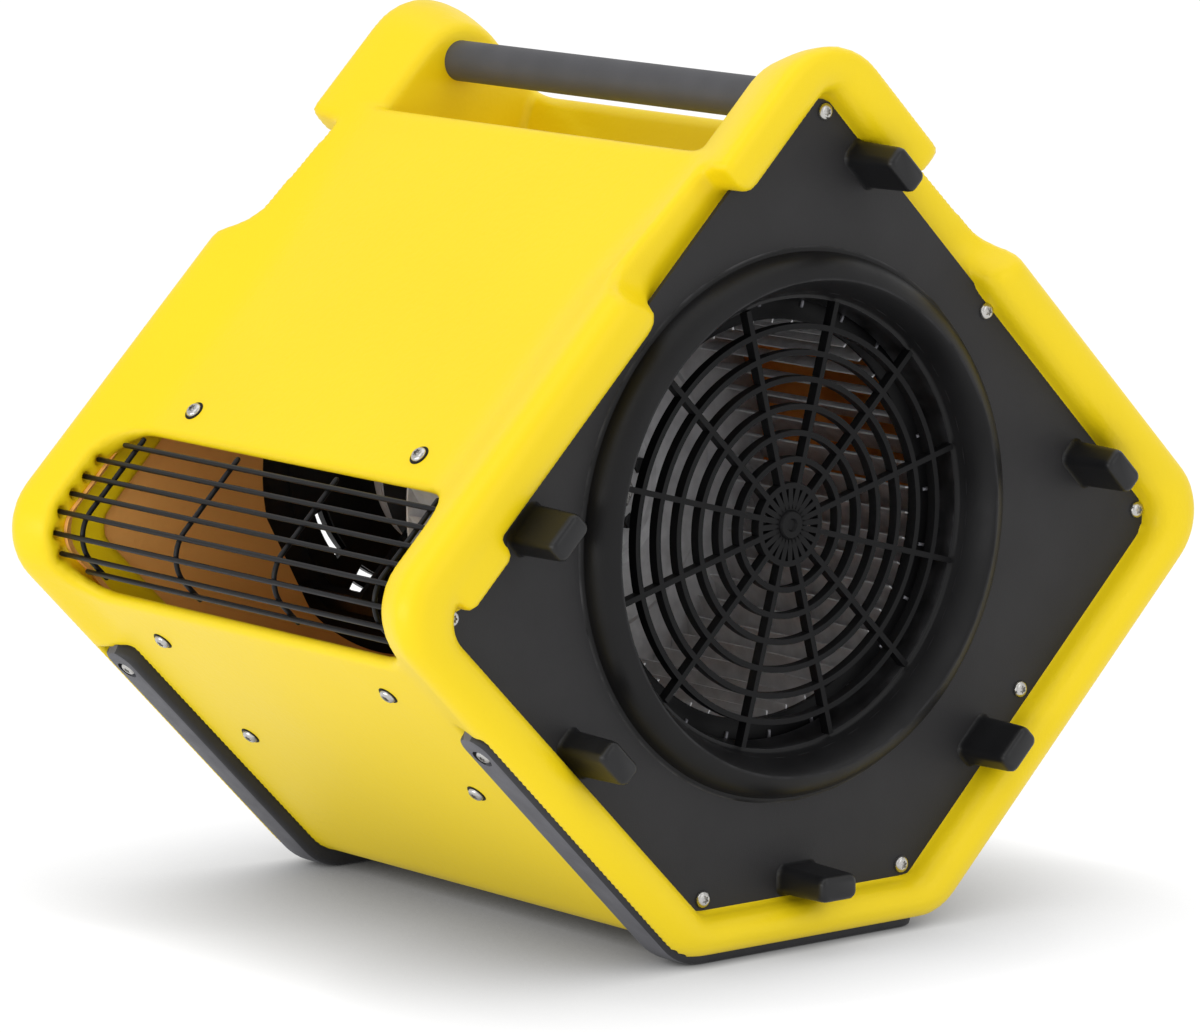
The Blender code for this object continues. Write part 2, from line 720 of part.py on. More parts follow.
def add_screw(name, seat, direction, shank):
    """A pan-head screw whose head bears on the seat point and whose shank runs back into the part."""
    direction = Vector(direction).normalized()
    turn = direction.to_track_quat("X", "Z").to_matrix().to_4x4()
    place = Matrix.Translation(Vector(seat)) @ turn
    overlap = 0.0002
    stations = (
        (-shank, SHANK_RADIUS), (overlap, SHANK_RADIUS), (overlap + 0.0001, HEAD_RADIUS),
        (0.6 * HEAD_HEIGHT, 0.94 * HEAD_RADIUS), (HEAD_HEIGHT, 0.55 * HEAD_RADIUS),
    )
    sections = [(x, circle((0, 0), radius, PIN_SIDES)) for x, radius in stations]
    loft(name, sections, "steel", place)


def add_screws():
    for name, (y, z) in PLATE_SCREWS.items():
        add_screw(f"plate_screw_{name}", (PLATE_OUT_X, y, z), (1, 0, 0), PLATE_SHANK)
    for face, places, inset in ((UP_FACE, UPPER_SCREWS, UPPER_INSET), (LOW_FACE, LOWER_SCREWS, LOWER_INSET)):
        for name, (x, along) in places.items():
            seat = (x, *from_front(face, along, inset))
            add_screw(f"{face}_screw_{name}", seat, face_axis(face), FACE_SHANK)
    for side, end in ((1, "near"), (-1, "far")):
        seat = (side * SKID_SCREW_X, *from_front(LOW_FACE, SKID_SCREW, SKID_FACE + HEAD_HEIGHT))
        add_screw(f"skid_screw_{end}", seat, face_axis(LOW_FACE), FACE_SHANK + 0.004)


def add_skids():
    for side, end in ((1, "near"), (-1, "far")):
        outline = skid_outline(SKID_FACE, SKID_BOTTOM, SKID_BACK, 0)
        skid = prism(f"skid_{end}", outline, (side * SKID_X[0], side * SKID_X[1]), "skid_rubber")
        x = side * SKID_SCREW_X
        deep = (x, *from_front(LOW_FACE, SKID_SCREW, 0.014))
        seat = (x, *from_front(LOW_FACE, SKID_SCREW, SKID_FACE + HEAD_HEIGHT))
        out = (x, *from_front(LOW_FACE, SKID_SCREW, -0.010))
        combine(skid, rods(f"skid_bore_{end}", [(deep, out)], PILOT_RADIUS), "DIFFERENCE")
        combine(skid, rods(f"skid_sink_{end}", [(seat, out)], HEAD_RADIUS + 0.0006), "DIFFERENCE")


def grille_path(inset):
    """(y, z) points of the outlet's curve at this inset, from its upper edge to its lower edge."""
    upper = from_front(UP_FACE, CROSS_ENDS[0], inset)
    lower = from_front(LOW_FACE, CROSS_ENDS[1], inset)
    corner = (-(HALF_DIAGONAL - inset * math.sqrt(2)), DIAMOND_Z)
    bend = rounded([(*upper, 0.0001, 1), (*corner, SIDE_RADIUS - inset, 8), (*lower, 0.0001, 1)])
    return [upper, *bend[2:-2], lower]


def wire_places(path):
    """The grille's long wires as (y, z, half length): each ends just inside the rounded opening."""
    points = [Vector(point) for point in path]
    lengths = [(b - a).length for a, b in zip(points, points[1:])]
    total = sum(lengths)
    found = []
    for index in range(WIRES):
        target = total * (index + 0.6) / (WIRES + 0.2)
        edge = min(target, total - target)
        short = max(OUTLET_RADIUS - edge + WIRE_RADIUS, 0)
        half = OUTLET_X - WIRE_GAP - OUTLET_RADIUS + math.sqrt(OUTLET_RADIUS**2 - short**2)
        for start, end, length in zip(points, points[1:], lengths):
            if target <= length:
                found.append((*start.lerp(end, target / length), half))
                break
            target -= length
    return found


def add_grille():
    rows = wire_places(grille_path(WIRE_INSET))
    ends = [((-half, y, z), (half, y, z)) for y, z, half in rows]
    grille = rods("outlet_grille", ends, WIRE_RADIUS, 6, "coated_wire")
    path = grille_path(WIRE_INSET + CROSS_OFFSET)
    wires = bmesh.new()
    for x in CROSS_X:
        outline = band_outline(path, 2 * WIRE_RADIUS)
        halves = (x - WIRE_RADIUS, x + WIRE_RADIUS)
        loops = [[wires.verts.new((side, y, z)) for y, z in outline] for side in halves]
        for index in range(len(outline)):
            following = (index + 1) % len(outline)
            wires.faces.new((loops[0][index], loops[0][following], loops[1][following], loops[1][index]))
        wires.faces.new(loops[0])
        wires.faces.new(loops[1])
    combine(grille, add_mesh("cross_wires", wires), "UNION")


def add_handle():
    profile = (
        (-HANDLE_HALF, HANDLE_BORE), (-HANDLE_HALF, HANDLE_RADIUS),
        (HANDLE_HALF, HANDLE_RADIUS), (HANDLE_HALF, HANDLE_BORE),
    )
    turned("handle_tube", profile, (0, HANDLE_Z), ROUND_SIDES, "handle_grey")


def add_impeller():
    impeller = ring("impeller", BACK_DISC_X, (SHAFT_BORE, IMPELLER_RADIUS), "zinc", BLADES)
    front = prism("front_ring", circle((FAN_Y, FAN_Z), IMPELLER_RADIUS, BLADES), FRONT_RING_X)
    bore = circle((FAN_Y, FAN_Z), FRONT_RING_BORE, BLADES)
    combine(front, prism("front_ring_bore", bore, (0.140, 0.160)), "DIFFERENCE")
    combine(impeller, front, "UNION")
    built = bmesh.new()
    for blade in range(BLADES):
        base = 360 * (blade + 0.5) / BLADES
        path = []
        for radius, lead in zip(BLADE_RADII, BLADE_LEADS):
            angle = math.radians(base - lead)
            path.append((FAN_Y + radius * math.cos(angle), FAN_Z + radius * math.sin(angle)))
        outline = band_outline(path, 2 * BLADE_HALF_THICK)
        loops = [[built.verts.new((x, y, z)) for y, z in outline] for x in BLADE_X]
        for index in range(len(outline)):
            following = (index + 1) % len(outline)
            built.faces.new((loops[0][index], loops[0][following], loops[1][following], loops[1][index]))
        built.faces.new(loops[0])
        built.faces.new(loops[1])
    combine(impeller, add_mesh("blades", built), "UNION")


def add_motor():
    centre = (FAN_Y, FAN_Z)
    turned("impeller_hub", HUB, centre, ROUND_SIDES, "cast_aluminium")
    ring("hub_nut", NUT_X, (NUT_BORE, NUT_RADIUS), "steel", 6)
    shaft_ends = [((SHAFT_X[0], *centre), (SHAFT_X[1], *centre))]
    rods("motor_shaft", shaft_ends, SHAFT_RADIUS, ROUND_SIDES, "steel")
    turned("motor_casing", CASING, centre, ROUND_SIDES, "cast_aluminium")
    turned("motor_end_bell", END_BELL, centre, ROUND_SIDES, "cast_aluminium")
    ring("front_bearing", FRONT_BEARING_X, (SHAFT_BORE, BEARING_RADIUS), "steel")
    ring("rear_bearing", REAR_BEARING_X, (SHAFT_BORE, BEARING_RADIUS), "steel")
    ring("stator_core", STATOR_X, STATOR_RADII, "lamination")
    ring("front_winding", FRONT_WINDING_X, WINDING_RADII, "copper_winding")
    ring("rear_winding", REAR_WINDING_X, WINDING_RADII, "copper_winding")
    ring("rotor_core", ROTOR_X, (SHAFT_BORE, ROTOR_RADIUS), "lamination")


def add_bracket():
    """A band clamped round the motor, on four cranked arms that stand on the motor plate."""
    bracket = ring("motor_bracket", BAND_X, BAND_RADII, "zinc")
    pad_top = FOOT_PAD_X + ARM_THICK
    bend = ARM_REACH - ARM_THICK
    side_view = [
        (ARM_X[0], ARM_ROOT), (ARM_X[0], bend), (pad_top, bend), (FOOT_PAD_X, bend), (FOOT_PAD_X, PAD_REACH),
        (pad_top, PAD_REACH), (pad_top, ARM_REACH), (ARM_X[1], ARM_REACH), (ARM_X[1], ARM_ROOT),
    ]
    built = bmesh.new()
    for quarter in range(4):
        turn = Matrix.Rotation(math.radians(45 + 90 * quarter), 4, "X")
        place = Matrix.Translation((0, FAN_Y, FAN_Z)) @ turn
        loops = []
        for across in (-ARM_WIDTH / 2, ARM_WIDTH / 2):
            loops.append([built.verts.new(place @ Vector((x, reach, across))) for x, reach in side_view])
        for index in range(len(side_view)):
            following = (index + 1) % len(side_view)
            built.faces.new((loops[0][index], loops[0][following], loops[1][following], loops[1][index]))
        built.faces.new(loops[0])
        built.faces.new(loops[1])
    combine(bracket, add_mesh("bracket_arms", built), "UNION")


def add_electrics():
    sides = ROUND_SIDES // 2
    prism("run_capacitor", circle(CAPACITOR_AT, CAPACITOR_RADIUS, sides), CAPACITOR_X, "grey_plastic")
    box = prism("switch_box", slab_outline(SWITCH_AT, SWITCH_SIZE, 0, 0.002), SWITCH_X, "grey_plastic")
    y, z = SWITCH_AT
    hole = [((-0.180, y, z), (SPINDLE_HOLE_END_X, y, z))]
    combine(box, rods("spindle_hole", hole, SPINDLE_HOLE), "DIFFERENCE")
    back = KNOB_X[1]
    stations = (
        (SPINDLE_END_X, SPINDLE_RADIUS), (back - 0.0001, SPINDLE_RADIUS), (back - 0.0002, KNOB_RADIUS),
        (KNOB_X[0] + 0.0015, KNOB_RADIUS - 0.001), (KNOB_X[0], KNOB_RADIUS - 0.0025),
    )
    sections = [(x, circle(SWITCH_AT, radius, sides)) for x, radius in stations]
    knob = loft("speed_knob", sections, "gloss_black")
    grip = slab_outline(SWITCH_AT, KNOB_GRIP, 0, 0.0015)
    combine(knob, prism("knob_grip", grip, (KNOB_GRIP_X, KNOB_X[0] + 0.004)), "UNION")
    turned("cable_gland", GLAND, GLAND_AT, sides, "grey_plastic")


def main():
    clear_scene()
    make_materials()
    make_collections()
    add_housing()
    add_plate("inlet_plate", 1, INLET_HOLE_RADIUS, [])
    add_plate("motor_plate", -1, MOTOR_HOLE_RADIUS, [(SWITCH_AT, SPINDLE_HOLE), (GLAND_AT, GLAND_HOLE)])
    turned("inlet_collar", COLLAR, (FAN_Y, FAN_Z), COLLAR_SIDES, "black_plastic")
    guard("inlet_guard", INLET_GUARD_X, INLET_RINGS, INLET_GUARD_REACH, 2)
    guard("motor_guard", (-PLATE_OUT_X, -PLATE_IN_X), MOTOR_RINGS, MOTOR_GUARD_REACH, 1)
    add_feet("inlet", 1)
    add_feet("motor", -1)
    add_handle()
    add_skids()
    add_grille()
    add_impeller()
    add_motor()
    add_bracket()
    add_electrics()
    add_screws()


main()
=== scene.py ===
"""The looks of the radial air mover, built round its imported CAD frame."""

from itertools import combinations
from math import acos, asin, atan2, cos, hypot, pi, radians, sin, sqrt, tan

import bmesh
import bpy
import numpy as np
from mathutils import Matrix, Vector


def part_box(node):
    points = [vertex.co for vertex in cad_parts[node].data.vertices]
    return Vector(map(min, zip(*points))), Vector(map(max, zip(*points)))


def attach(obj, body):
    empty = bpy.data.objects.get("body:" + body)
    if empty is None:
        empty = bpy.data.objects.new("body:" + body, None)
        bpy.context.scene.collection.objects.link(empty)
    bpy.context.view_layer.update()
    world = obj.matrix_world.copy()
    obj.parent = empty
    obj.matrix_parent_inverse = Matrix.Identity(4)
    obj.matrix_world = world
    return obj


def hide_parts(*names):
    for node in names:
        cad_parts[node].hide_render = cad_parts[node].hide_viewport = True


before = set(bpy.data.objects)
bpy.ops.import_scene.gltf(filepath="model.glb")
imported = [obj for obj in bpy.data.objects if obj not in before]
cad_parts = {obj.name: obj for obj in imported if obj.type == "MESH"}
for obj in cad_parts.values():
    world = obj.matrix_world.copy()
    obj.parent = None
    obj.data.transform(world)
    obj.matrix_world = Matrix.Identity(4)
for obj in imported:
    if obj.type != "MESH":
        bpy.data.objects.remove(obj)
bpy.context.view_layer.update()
SCENE = bpy.context.scene

# Housing, in metres. An inset is a distance inwards from the outline of the end flanges.
HALF = 0.328  # half the diagonal of the diamond section
MIDDLE = 0.23  # height of its side corners
BASE = 0.004  # height of its cut-off bottom
PANEL = 0.015  # inset of the upper faces
LOWER = 0.008  # inset of the lower faces
WALL = 0.0085
TROUGH_FLOOR = (0.047, 0.438)
# Distances from the middle in X.
RIM = 0.195
PLATE_FRONT = 0.178
EAR_INNER = 0.1465
NOTCH_X = 0.17
# Distances along an upper face from the apex: each ear, then the cut-back, then a slope up to the flange.
EAR_END = 0.122
REAR_EAR_END = 0.127
NOTCH_END = 0.2
FLANGE_START = 0.214
# Skids. The top is along the lower front face from the side corner, and the tail is a Y.
SKID_X = 0.17
SKID_HALF = 0.0138
SKID_TOP = 0.112
SKID_TAIL = 0.088
SKID_INSET = 0.0005
SKID_BOTTOM = -0.004
SKID_ROUND = 0.012
SKID_SCREW = 0.129
FAN = (-0.01, 0.251)  # the fan's axis as (y, z)
ROOT2 = sqrt(2)
UP = "upper"
LOW = "lower"
VOXEL = 0.003
GRID_LOW = np.array([-0.201, -0.318, -0.004])
GRID_HIGH = np.array([0.201, 0.318, 0.536])

# --- materials


def set_inputs(node, **values):
    """Sets a node's sockets by name, with _ for each space."""
    for name, value in values.items():
        node.inputs[name.replace("_", " ")].default_value = value


def make_material(name, colour, roughness, metallic=0.0, **look):
    """A Principled material with procedural grain, mottling, roughness variation and optional lighter edges.

    grain and fine are (scale, bump distance), mottle and smudge are (scale, amount), and wear is (colour,
    amount).
    """
    material = bpy.data.materials.new(name)
    material.use_nodes = True
    tree = material.node_tree
    connect = tree.links.new
    shader = tree.nodes["Principled BSDF"]
    set_inputs(
        shader, Base_Color=(*colour, 1), Roughness=roughness, Metallic=metallic,
        Specular_IOR_Level=look.get("specular", 0.5),
    )
    place = tree.nodes.new("ShaderNodeTexCoord").outputs["Object"]

    def noise(scale, detail):
        node = tree.nodes.new("ShaderNodeTexNoise")
        set_inputs(node, Scale=scale, Detail=detail)
        connect(place, node.inputs["Vector"])
        return node.outputs["Fac"]

    def remap(value, low, high, start=0.3, end=0.7):
        node = tree.nodes.new("ShaderNodeMapRange")
        set_inputs(node, From_Min=start, From_Max=end, To_Min=low, To_Max=high)
        connect(value, node.inputs["Value"])
        return node.outputs["Result"]

    def mix(low, high, factor):
        node = tree.nodes.new("ShaderNodeMix")
        node.data_type = "RGBA"
        set_inputs(node, A=(*low, 1), B=(*high, 1))
        connect(factor, node.inputs["Factor"])
        return node

    scale, amount = look["mottle"]
    dark = [value * (1 - amount) for value in colour]
    light = [min(1, value * (1 + amount)) for value in colour]
    base = mix(dark, light, remap(noise(scale, 4), 0, 1)).outputs["Result"]
    # Lighter pointy edges, found by Pointiness: on the inlet collar this is a painted highlight along its
    # crest and step.
    if "wear" in look:
        edge_colour, amount = look["wear"]
        geometry = tree.nodes.new("ShaderNodeNewGeometry")
        gate = tree.nodes.new("ShaderNodeMath")
        gate.operation = "MULTIPLY"
        connect(remap(geometry.outputs["Pointiness"], 0, 1, 0.52, 0.62), gate.inputs[0])
        connect(remap(noise(60, 5), 0, amount, 0.35, 0.65), gate.inputs[1])
        edges = mix(colour, edge_colour, gate.outputs["Value"])
        connect(base, edges.inputs["A"])
        base = edges.outputs["Result"]
    connect(base, shader.inputs["Base Color"])
    if "smudge" in look:
        scale, amount = look["smudge"]
        connect(remap(noise(scale, 5), roughness - amount, roughness + amount), shader.inputs["Roughness"])
    normal = None
    for scale, distance in filter(None, (look["grain"], look.get("fine"))):
        bump = tree.nodes.new("ShaderNodeBump")
        set_inputs(bump, Distance=distance)
        connect(noise(scale, 2), bump.inputs["Height"])
        if normal:
            connect(normal, bump.inputs["Normal"])
        normal = bump.outputs["Normal"]
    connect(normal, shader.inputs["Normal"])
    return material


YELLOW = make_material(
    "yellow_polyethylene", (0.845, 0.622, 0.0045), 0.4, mottle=(5, 0.02), smudge=(9, 0.04),
    grain=(260, 0.0002), fine=(1100, 0.00003), specular=0.28,
)
# A darker, redder copy of the yellow for the volute's walls: painted shade, the yellow as it looks in the
# shade inside the housing.
YELLOW_PAINTED_SHADE = make_material(
    "yellow_painted_shade", (0.93, 0.47, 0.135), 0.55, mottle=(7, 0.06), smudge=(12, 0.05),
    grain=(260, 0.0002), specular=0.3,
)
BLACK = make_material(
    "grained_black_abs", (0.0165, 0.016, 0.0172), 0.56, mottle=(14, 0.12), smudge=(20, 0.05),
    grain=(1500, 0.0001), fine=(520, 0.00006), specular=0.32,
)
# The inlet collar's black; its wear is a painted highlight on the crest and step edges.
FUNNEL_BLACK = make_material(
    "funnel_black", (0.0065, 0.0064, 0.007), 0.4, mottle=(24, 0.15), smudge=(28, 0.08),
    grain=(1300, 0.00006), wear=((0.075, 0.075, 0.08), 1.0), specular=0.2,
)
SATIN_BLACK = make_material(
    "satin_black_abs", (0.0075, 0.0076, 0.0085), 0.38, mottle=(30, 0.1), smudge=(45, 0.05),
    grain=(900, 0.00003), specular=0.34,
)
GUARD_BLACK = make_material(
    "guard_black", (0.005, 0.005, 0.0055), 0.42, mottle=(30, 0.08), smudge=(60, 0.05),
    grain=(900, 0.00002), specular=0.12,
)
GRIP = make_material(
    "grip_sleeve", (0.052, 0.052, 0.058), 0.6, mottle=(40, 0.1), smudge=(30, 0.05), grain=(1300, 0.00012)
)
# The skids' top faces; wear lightens their pointy edges.
SKID = make_material(
    "skid_rubber_top", (0.098, 0.098, 0.11), 0.64, mottle=(45, 0.16), smudge=(80, 0.07),
    grain=(900, 0.00012), wear=((0.22, 0.22, 0.23), 0.5),
)
# A darker copy of the skid rubber for the bevels, sides and ends: painted shade.
SKID_PAINTED_SHADE = make_material(
    "skid_rubber_painted_shade", (0.018, 0.018, 0.021), 0.55, mottle=(45, 0.16), smudge=(80, 0.07),
    grain=(900, 0.00012),
)
WIRE = make_material(
    "wire_coat", (0.0065, 0.0065, 0.0075), 0.36, mottle=(60, 0.1), grain=(700, 0.00003),
    specular=0.22,
)
STAINLESS = make_material(
    "stainless", (0.52, 0.51, 0.49), 0.26, 1.0, mottle=(300, 0.06), smudge=(400, 0.06),
    grain=(2500, 0.00001),
)
GALVANISED = make_material(
    "galvanised", (0.62, 0.62, 0.63), 0.42, 0.35, mottle=(90, 0.16), smudge=(60, 0.1),
    grain=(700, 0.00003),
)
CAST = make_material(
    "cast_aluminium_skin", (0.72, 0.72, 0.73), 0.42, 0.5, mottle=(60, 0.08), smudge=(50, 0.07),
    grain=(900, 0.0001),
)
LAMINATION = make_material(
    "lamination_steel", (0.2, 0.2, 0.22), 0.45, 0.8, mottle=(80, 0.2), grain=(1800, 0.0001)
)
COPPER = make_material(
    "copper_enamel", (0.55, 0.2, 0.07), 0.35, 0.7, mottle=(200, 0.2), grain=(1500, 0.0002)
)
GREY = make_material(
    "grey_nylon", (0.1, 0.1, 0.105), 0.5, mottle=(40, 0.1), smudge=(50, 0.05), grain=(900, 0.00005)
)
MARK = make_material("white_print", (0.72, 0.72, 0.7), 0.55, mottle=(200, 0.06), grain=(900, 0.00002))

# --- outlines


def polar(radius, angle, centre=FAN):
    """The (y, z) point at this radius and angle round a centre."""
    return centre[0] + radius * cos(angle), centre[1] + radius * sin(angle)


def full_turn(count):
    return [2 * pi * step / count for step in range(count)]


def rounded(corners, fine=radians(9)):
    """The closed outline through (y, z, radius) corners, each turned into an arc."""
    outline = []
    for index, (y, z, radius) in enumerate(corners):
        corner = Vector((y, z))
        following = corners[(index + 1) % len(corners)]
        before = (Vector(corners[index - 1][:2]) - corner).normalized()
        after = (Vector(following[:2]) - corner).normalized()
        half = acos(max(-1, min(1, before.dot(after)))) / 2
        middle = corner + (before + after).normalized() * radius / sin(half)
        start = corner + before * radius / tan(half) - middle
        end = corner + after * radius / tan(half) - middle
        turn = atan2(start.x * end.y - start.y * end.x, start.dot(end))
        steps = max(1, round(abs(turn) / fine))
        for step in range(steps + 1):
            outline.append(tuple(middle + Matrix.Rotation(turn * step / steps, 2) @ start))
    return outline


def rectangle(a, b, *radius):
    """The corners of a rectangle with these half sides, round the origin."""
    return [(-a, -b, *radius), (a, -b, *radius), (a, b, *radius), (-a, b, *radius)]


def on_face(side, face, along, inset):
    """The (y, z) point along a face: from the apex on an upper face, else from the side corner."""
    step = along / ROOT2
    deep = inset / ROOT2
    if face == UP:
        return side * (step - deep), MIDDLE + HALF - step - deep
    return side * (HALF - step - deep), MIDDLE - step + deep


def from_front(face, along, inset):
    """The (y, z) point this far from the front corner on either front face."""
    if face == UP:
        return on_face(-1, UP, HALF * ROOT2 - along, inset)
    return on_face(-1, LOW, along, inset)


def base_corner(side, inset, base_inset):
    z = BASE + base_inset
    return side * (HALF - inset * ROOT2 - (MIDDLE - z)), z


def around(upper, lower, base_inset, side_radius, base_radius):
    """The corners from the rear round the base to the front. Upper and lower faces have their own insets."""
    side_y = HALF - (upper + lower) / 2 * ROOT2
    side_z = MIDDLE - (upper - lower) / 2 * ROOT2
    return [
        (side_y, side_z, side_radius),
        (*base_corner(1, lower, base_inset), base_radius),
        (*base_corner(-1, lower, base_inset), base_radius),
        (-side_y, side_z, side_radius),
    ]


def flange_outline():
    """The ears' faces lie a little deeper than the rest, more so in front, and meet in a tighter apex."""
    front, rear = 0.0065, 0.003
    apex = ((front - rear) / ROOT2, MIDDLE + HALF - (front + rear) / ROOT2, 0.049)
    right = [(*on_face(1, UP, 0.125, rear), 0.2), (*on_face(1, UP, 0.215, 0), 0.2)]
    left = [(*on_face(-1, UP, 0.215, 0), 0.2), (*on_face(-1, UP, 0.125, front), 0.2)]
    return rounded([apex, *right, *around(0, 0, 0, 0.042, 0.04), *left])


def trough_outline(upper, lower, lip, floor):
    """The section between the rims, with the hand trough sunk from its lips to its floor."""
    sides = around(upper, lower, lower, 0.045 - upper, 0.043 - lower)
    trough = [(-floor[0], floor[1], 0.012), (*floor, 0.012), (*lip, 0.007)]
    return rounded([*trough, *sides, (-lip[0], lip[1], 0.007)])


def rim_opening():
    """The opening inside each rim, over the plate: its inset differs from face to face."""
    front, rear, lower = 0.0395, 0.0335, 0.0315
    top = ((front - rear) / ROOT2, MIDDLE + HALF - (front + rear) / ROOT2, 0.009)
    base = BASE + 0.0255
    low_y = HALF - lower * ROOT2 - (MIDDLE - base)

    def side(sign, upper):
        across = HALF - (upper + lower) / ROOT2
        return sign * across, MIDDLE - (upper - lower) / ROOT2, 0.02

    return rounded([top, side(1, rear), (low_y, base, 0.016), (-low_y, base, 0.016), side(-1, front)])


def ledge_outline():
    """The opening behind each plate, whose edge is the ledge that the plate lies on."""
    inset, top = 0.046, 0.428
    reach = HALF - inset * ROOT2 - (top - MIDDLE)
    lower = around(inset, inset, 0.04, 0.015, 0.012)
    return rounded([(-reach, top, 0.01), (reach, top, 0.01), *lower])


def skid_loop(low, high, extra):
    """The skid's side view: down the lower front face, round the bend and along the base."""
    loops = []
    for inset, direction in ((low, 1), (high, -1)):
        corner = base_corner(-1, inset, inset)
        start = on_face(-1, LOW, SKID_TOP - extra, inset)
        end = (SKID_TAIL + extra, corner[1])
        bend = rounded([(*start, 0.0001), (*corner, 0.04 - inset), (*end, 0.0001)])
        loops.append([point for point in bend if Vector(point) != Vector(start)][::direction])
    return loops[0] + loops[1]


# --- distance fields


def outline_distance(outline, y, z):
    """Signed distance from each (y, z) sample to a closed outline, negative inside."""
    points = np.array(outline)
    ends = np.roll(points, -1, axis=0)
    nearest = np.full(np.broadcast(y, z).shape, 1e9)
    inside = np.zeros(nearest.shape, bool)
    for (ay, az), (by, bz) in zip(points, ends):
        ey, ez = by - ay, bz - az
        length = ey * ey + ez * ez
        if length < 1e-14:
            continue
        share = np.clip(((y - ay) * ey + (z - az) * ez) / length, 0, 1)
        nearest = np.minimum(nearest, (y - ay - share * ey) ** 2 + (z - az - share * ez) ** 2)
        crosses = (az > z) != (bz > z)
        if ez != 0:
            inside ^= crosses & (y < ay + (z - az) * ey / ez)
    return (np.where(inside, -1, 1) * np.sqrt(nearest)).astype(np.float32)


def blend_min(a, b, reach):
    near = np.maximum(reach - np.abs(a - b), 0) / reach
    return np.minimum(a, b) - near * near * reach / 4


def blend_max(a, b, reach):
    return -blend_min(-a, -b, reach)


def slab(flat, across, radius):
    """The distance to a flat shape pulled along another axis, with its edges rounded."""
    a = flat + radius
    b = across + radius
    return np.minimum(np.maximum(a, b), 0) + np.hypot(np.maximum(a, 0), np.maximum(b, 0)) - radius


def rounded_box(u, v, low_u, high_u, low_v, high_v, radius):
    du = np.abs(u - (low_u + high_u) / 2) - (high_u - low_u) / 2
    dv = np.abs(v - (low_v + high_v) / 2) - (high_v - low_v) / 2
    return slab(du, dv, radius)


def net_of(field, origin, size):
    """Points and quads on the zero surface of a field of distances, by surface nets."""
    inside = field < 0
    corners = list(np.ndindex(2, 2, 2))
    shape = tuple(n - 1 for n in field.shape)

    def window(array, corner):
        return array[tuple(slice(c, c + n) for c, n in zip(corner, shape))]

    count = sum(window(inside, corner).astype(np.int8) for corner in corners)
    cells = np.argwhere((count > 0) & (count < 8))
    values = np.stack([field[tuple((cells + corner).T)] for corner in corners], axis=1)
    total = np.zeros((len(cells), 3))
    crossings = np.zeros(len(cells))
    for a, b in combinations(range(8), 2):
        step = np.array(corners[b]) - np.array(corners[a])
        if np.abs(step).sum() != 1:
            continue
        va, vb = values[:, a], values[:, b]
        crossed = (va < 0) != (vb < 0)
        share = np.where(crossed, va / np.where(crossed, va - vb, 1), 0)
        total += (corners[a] + share[:, None] * step) * crossed[:, None]
        crossings += crossed
    points = (cells + total / crossings[:, None]) * size + origin
    number = np.full(shape, -1, np.int32)
    number[tuple(cells.T)] = np.arange(len(cells))
    quads = []
    for axis in range(3):
        u, v = (axis + 1) % 3, (axis + 2) % 3
        low = [slice(1, -1)] * 3
        low[axis] = slice(0, -1)
        high = [slice(1, -1)] * 3
        high[axis] = slice(1, None)
        first, second = inside[tuple(low)], inside[tuple(high)]
        for flip, mask in ((False, first & ~second), (True, ~first & second)):
            found = np.argwhere(mask)
            start = found + 1
            start[:, axis] = found[:, axis]
            around_edge = []
            for du, dv in ((-1, -1), (0, -1), (0, 0), (-1, 0)):
                cell = start.copy()
                cell[:, u] += du
                cell[:, v] += dv
                around_edge.append(number[tuple(cell.T)])
            quad = np.stack(around_edge, axis=1)
            quads.append(quad[:, ::-1] if flip else quad)
    return points, np.concatenate(quads)


# --- pieces


def link(obj):
    if obj.name not in SCENE.collection.objects:
        SCENE.collection.objects.link(obj)


def finish_piece(obj, material, body="machine", stands_for=(), bevel=None, smooth=45):
    """Gives a piece its material, its shading, an optional (width, segments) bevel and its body."""
    obj.data.materials.clear()
    obj.data.materials.append(material)
    link(obj)
    if bevel:
        modifier = obj.modifiers.new("edges", "BEVEL")
        modifier.width, modifier.segments = bevel
        modifier.limit_method = "ANGLE"
        modifier.angle_limit = radians(32)
    obj.data.polygons.foreach_set("use_smooth", np.ones(len(obj.data.polygons), bool))
    if smooth < 180:
        obj.data.set_sharp_from_angle(angle=radians(smooth))
    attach(obj, body)
    if stands_for:
        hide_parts(*stands_for)
    return obj


def object_of(name, points, faces):
    mesh = bpy.data.meshes.new(name)
    faces = [tuple(map(int, face)) for face in faces]
    mesh.from_pydata([tuple(map(float, point)) for point in points], [], faces)
    mesh.validate()
    built = bmesh.new()
    built.from_mesh(mesh)
    bmesh.ops.recalc_face_normals(built, faces=built.faces)
    built.to_mesh(mesh)
    built.free()
    return bpy.data.objects.new(name, mesh)


def loft(name, loops, ring=False):
    """A surface through loops of points that all have the same count, capped unless it closes on itself."""
    points = [point for loop in loops for point in loop]
    size = len(loops[0])
    faces = []
    for row in range(len(loops) if ring else len(loops) - 1):
        here, there = row * size, (row + 1) % len(loops) * size
        for index in range(size):
            following = (index + 1) % size
            faces.append((here + index, here + following, there + following, there + index))
    if not ring:
        faces += [tuple(range(size)), tuple(range(len(points) - size, len(points)))]
    return object_of(name, points, faces)


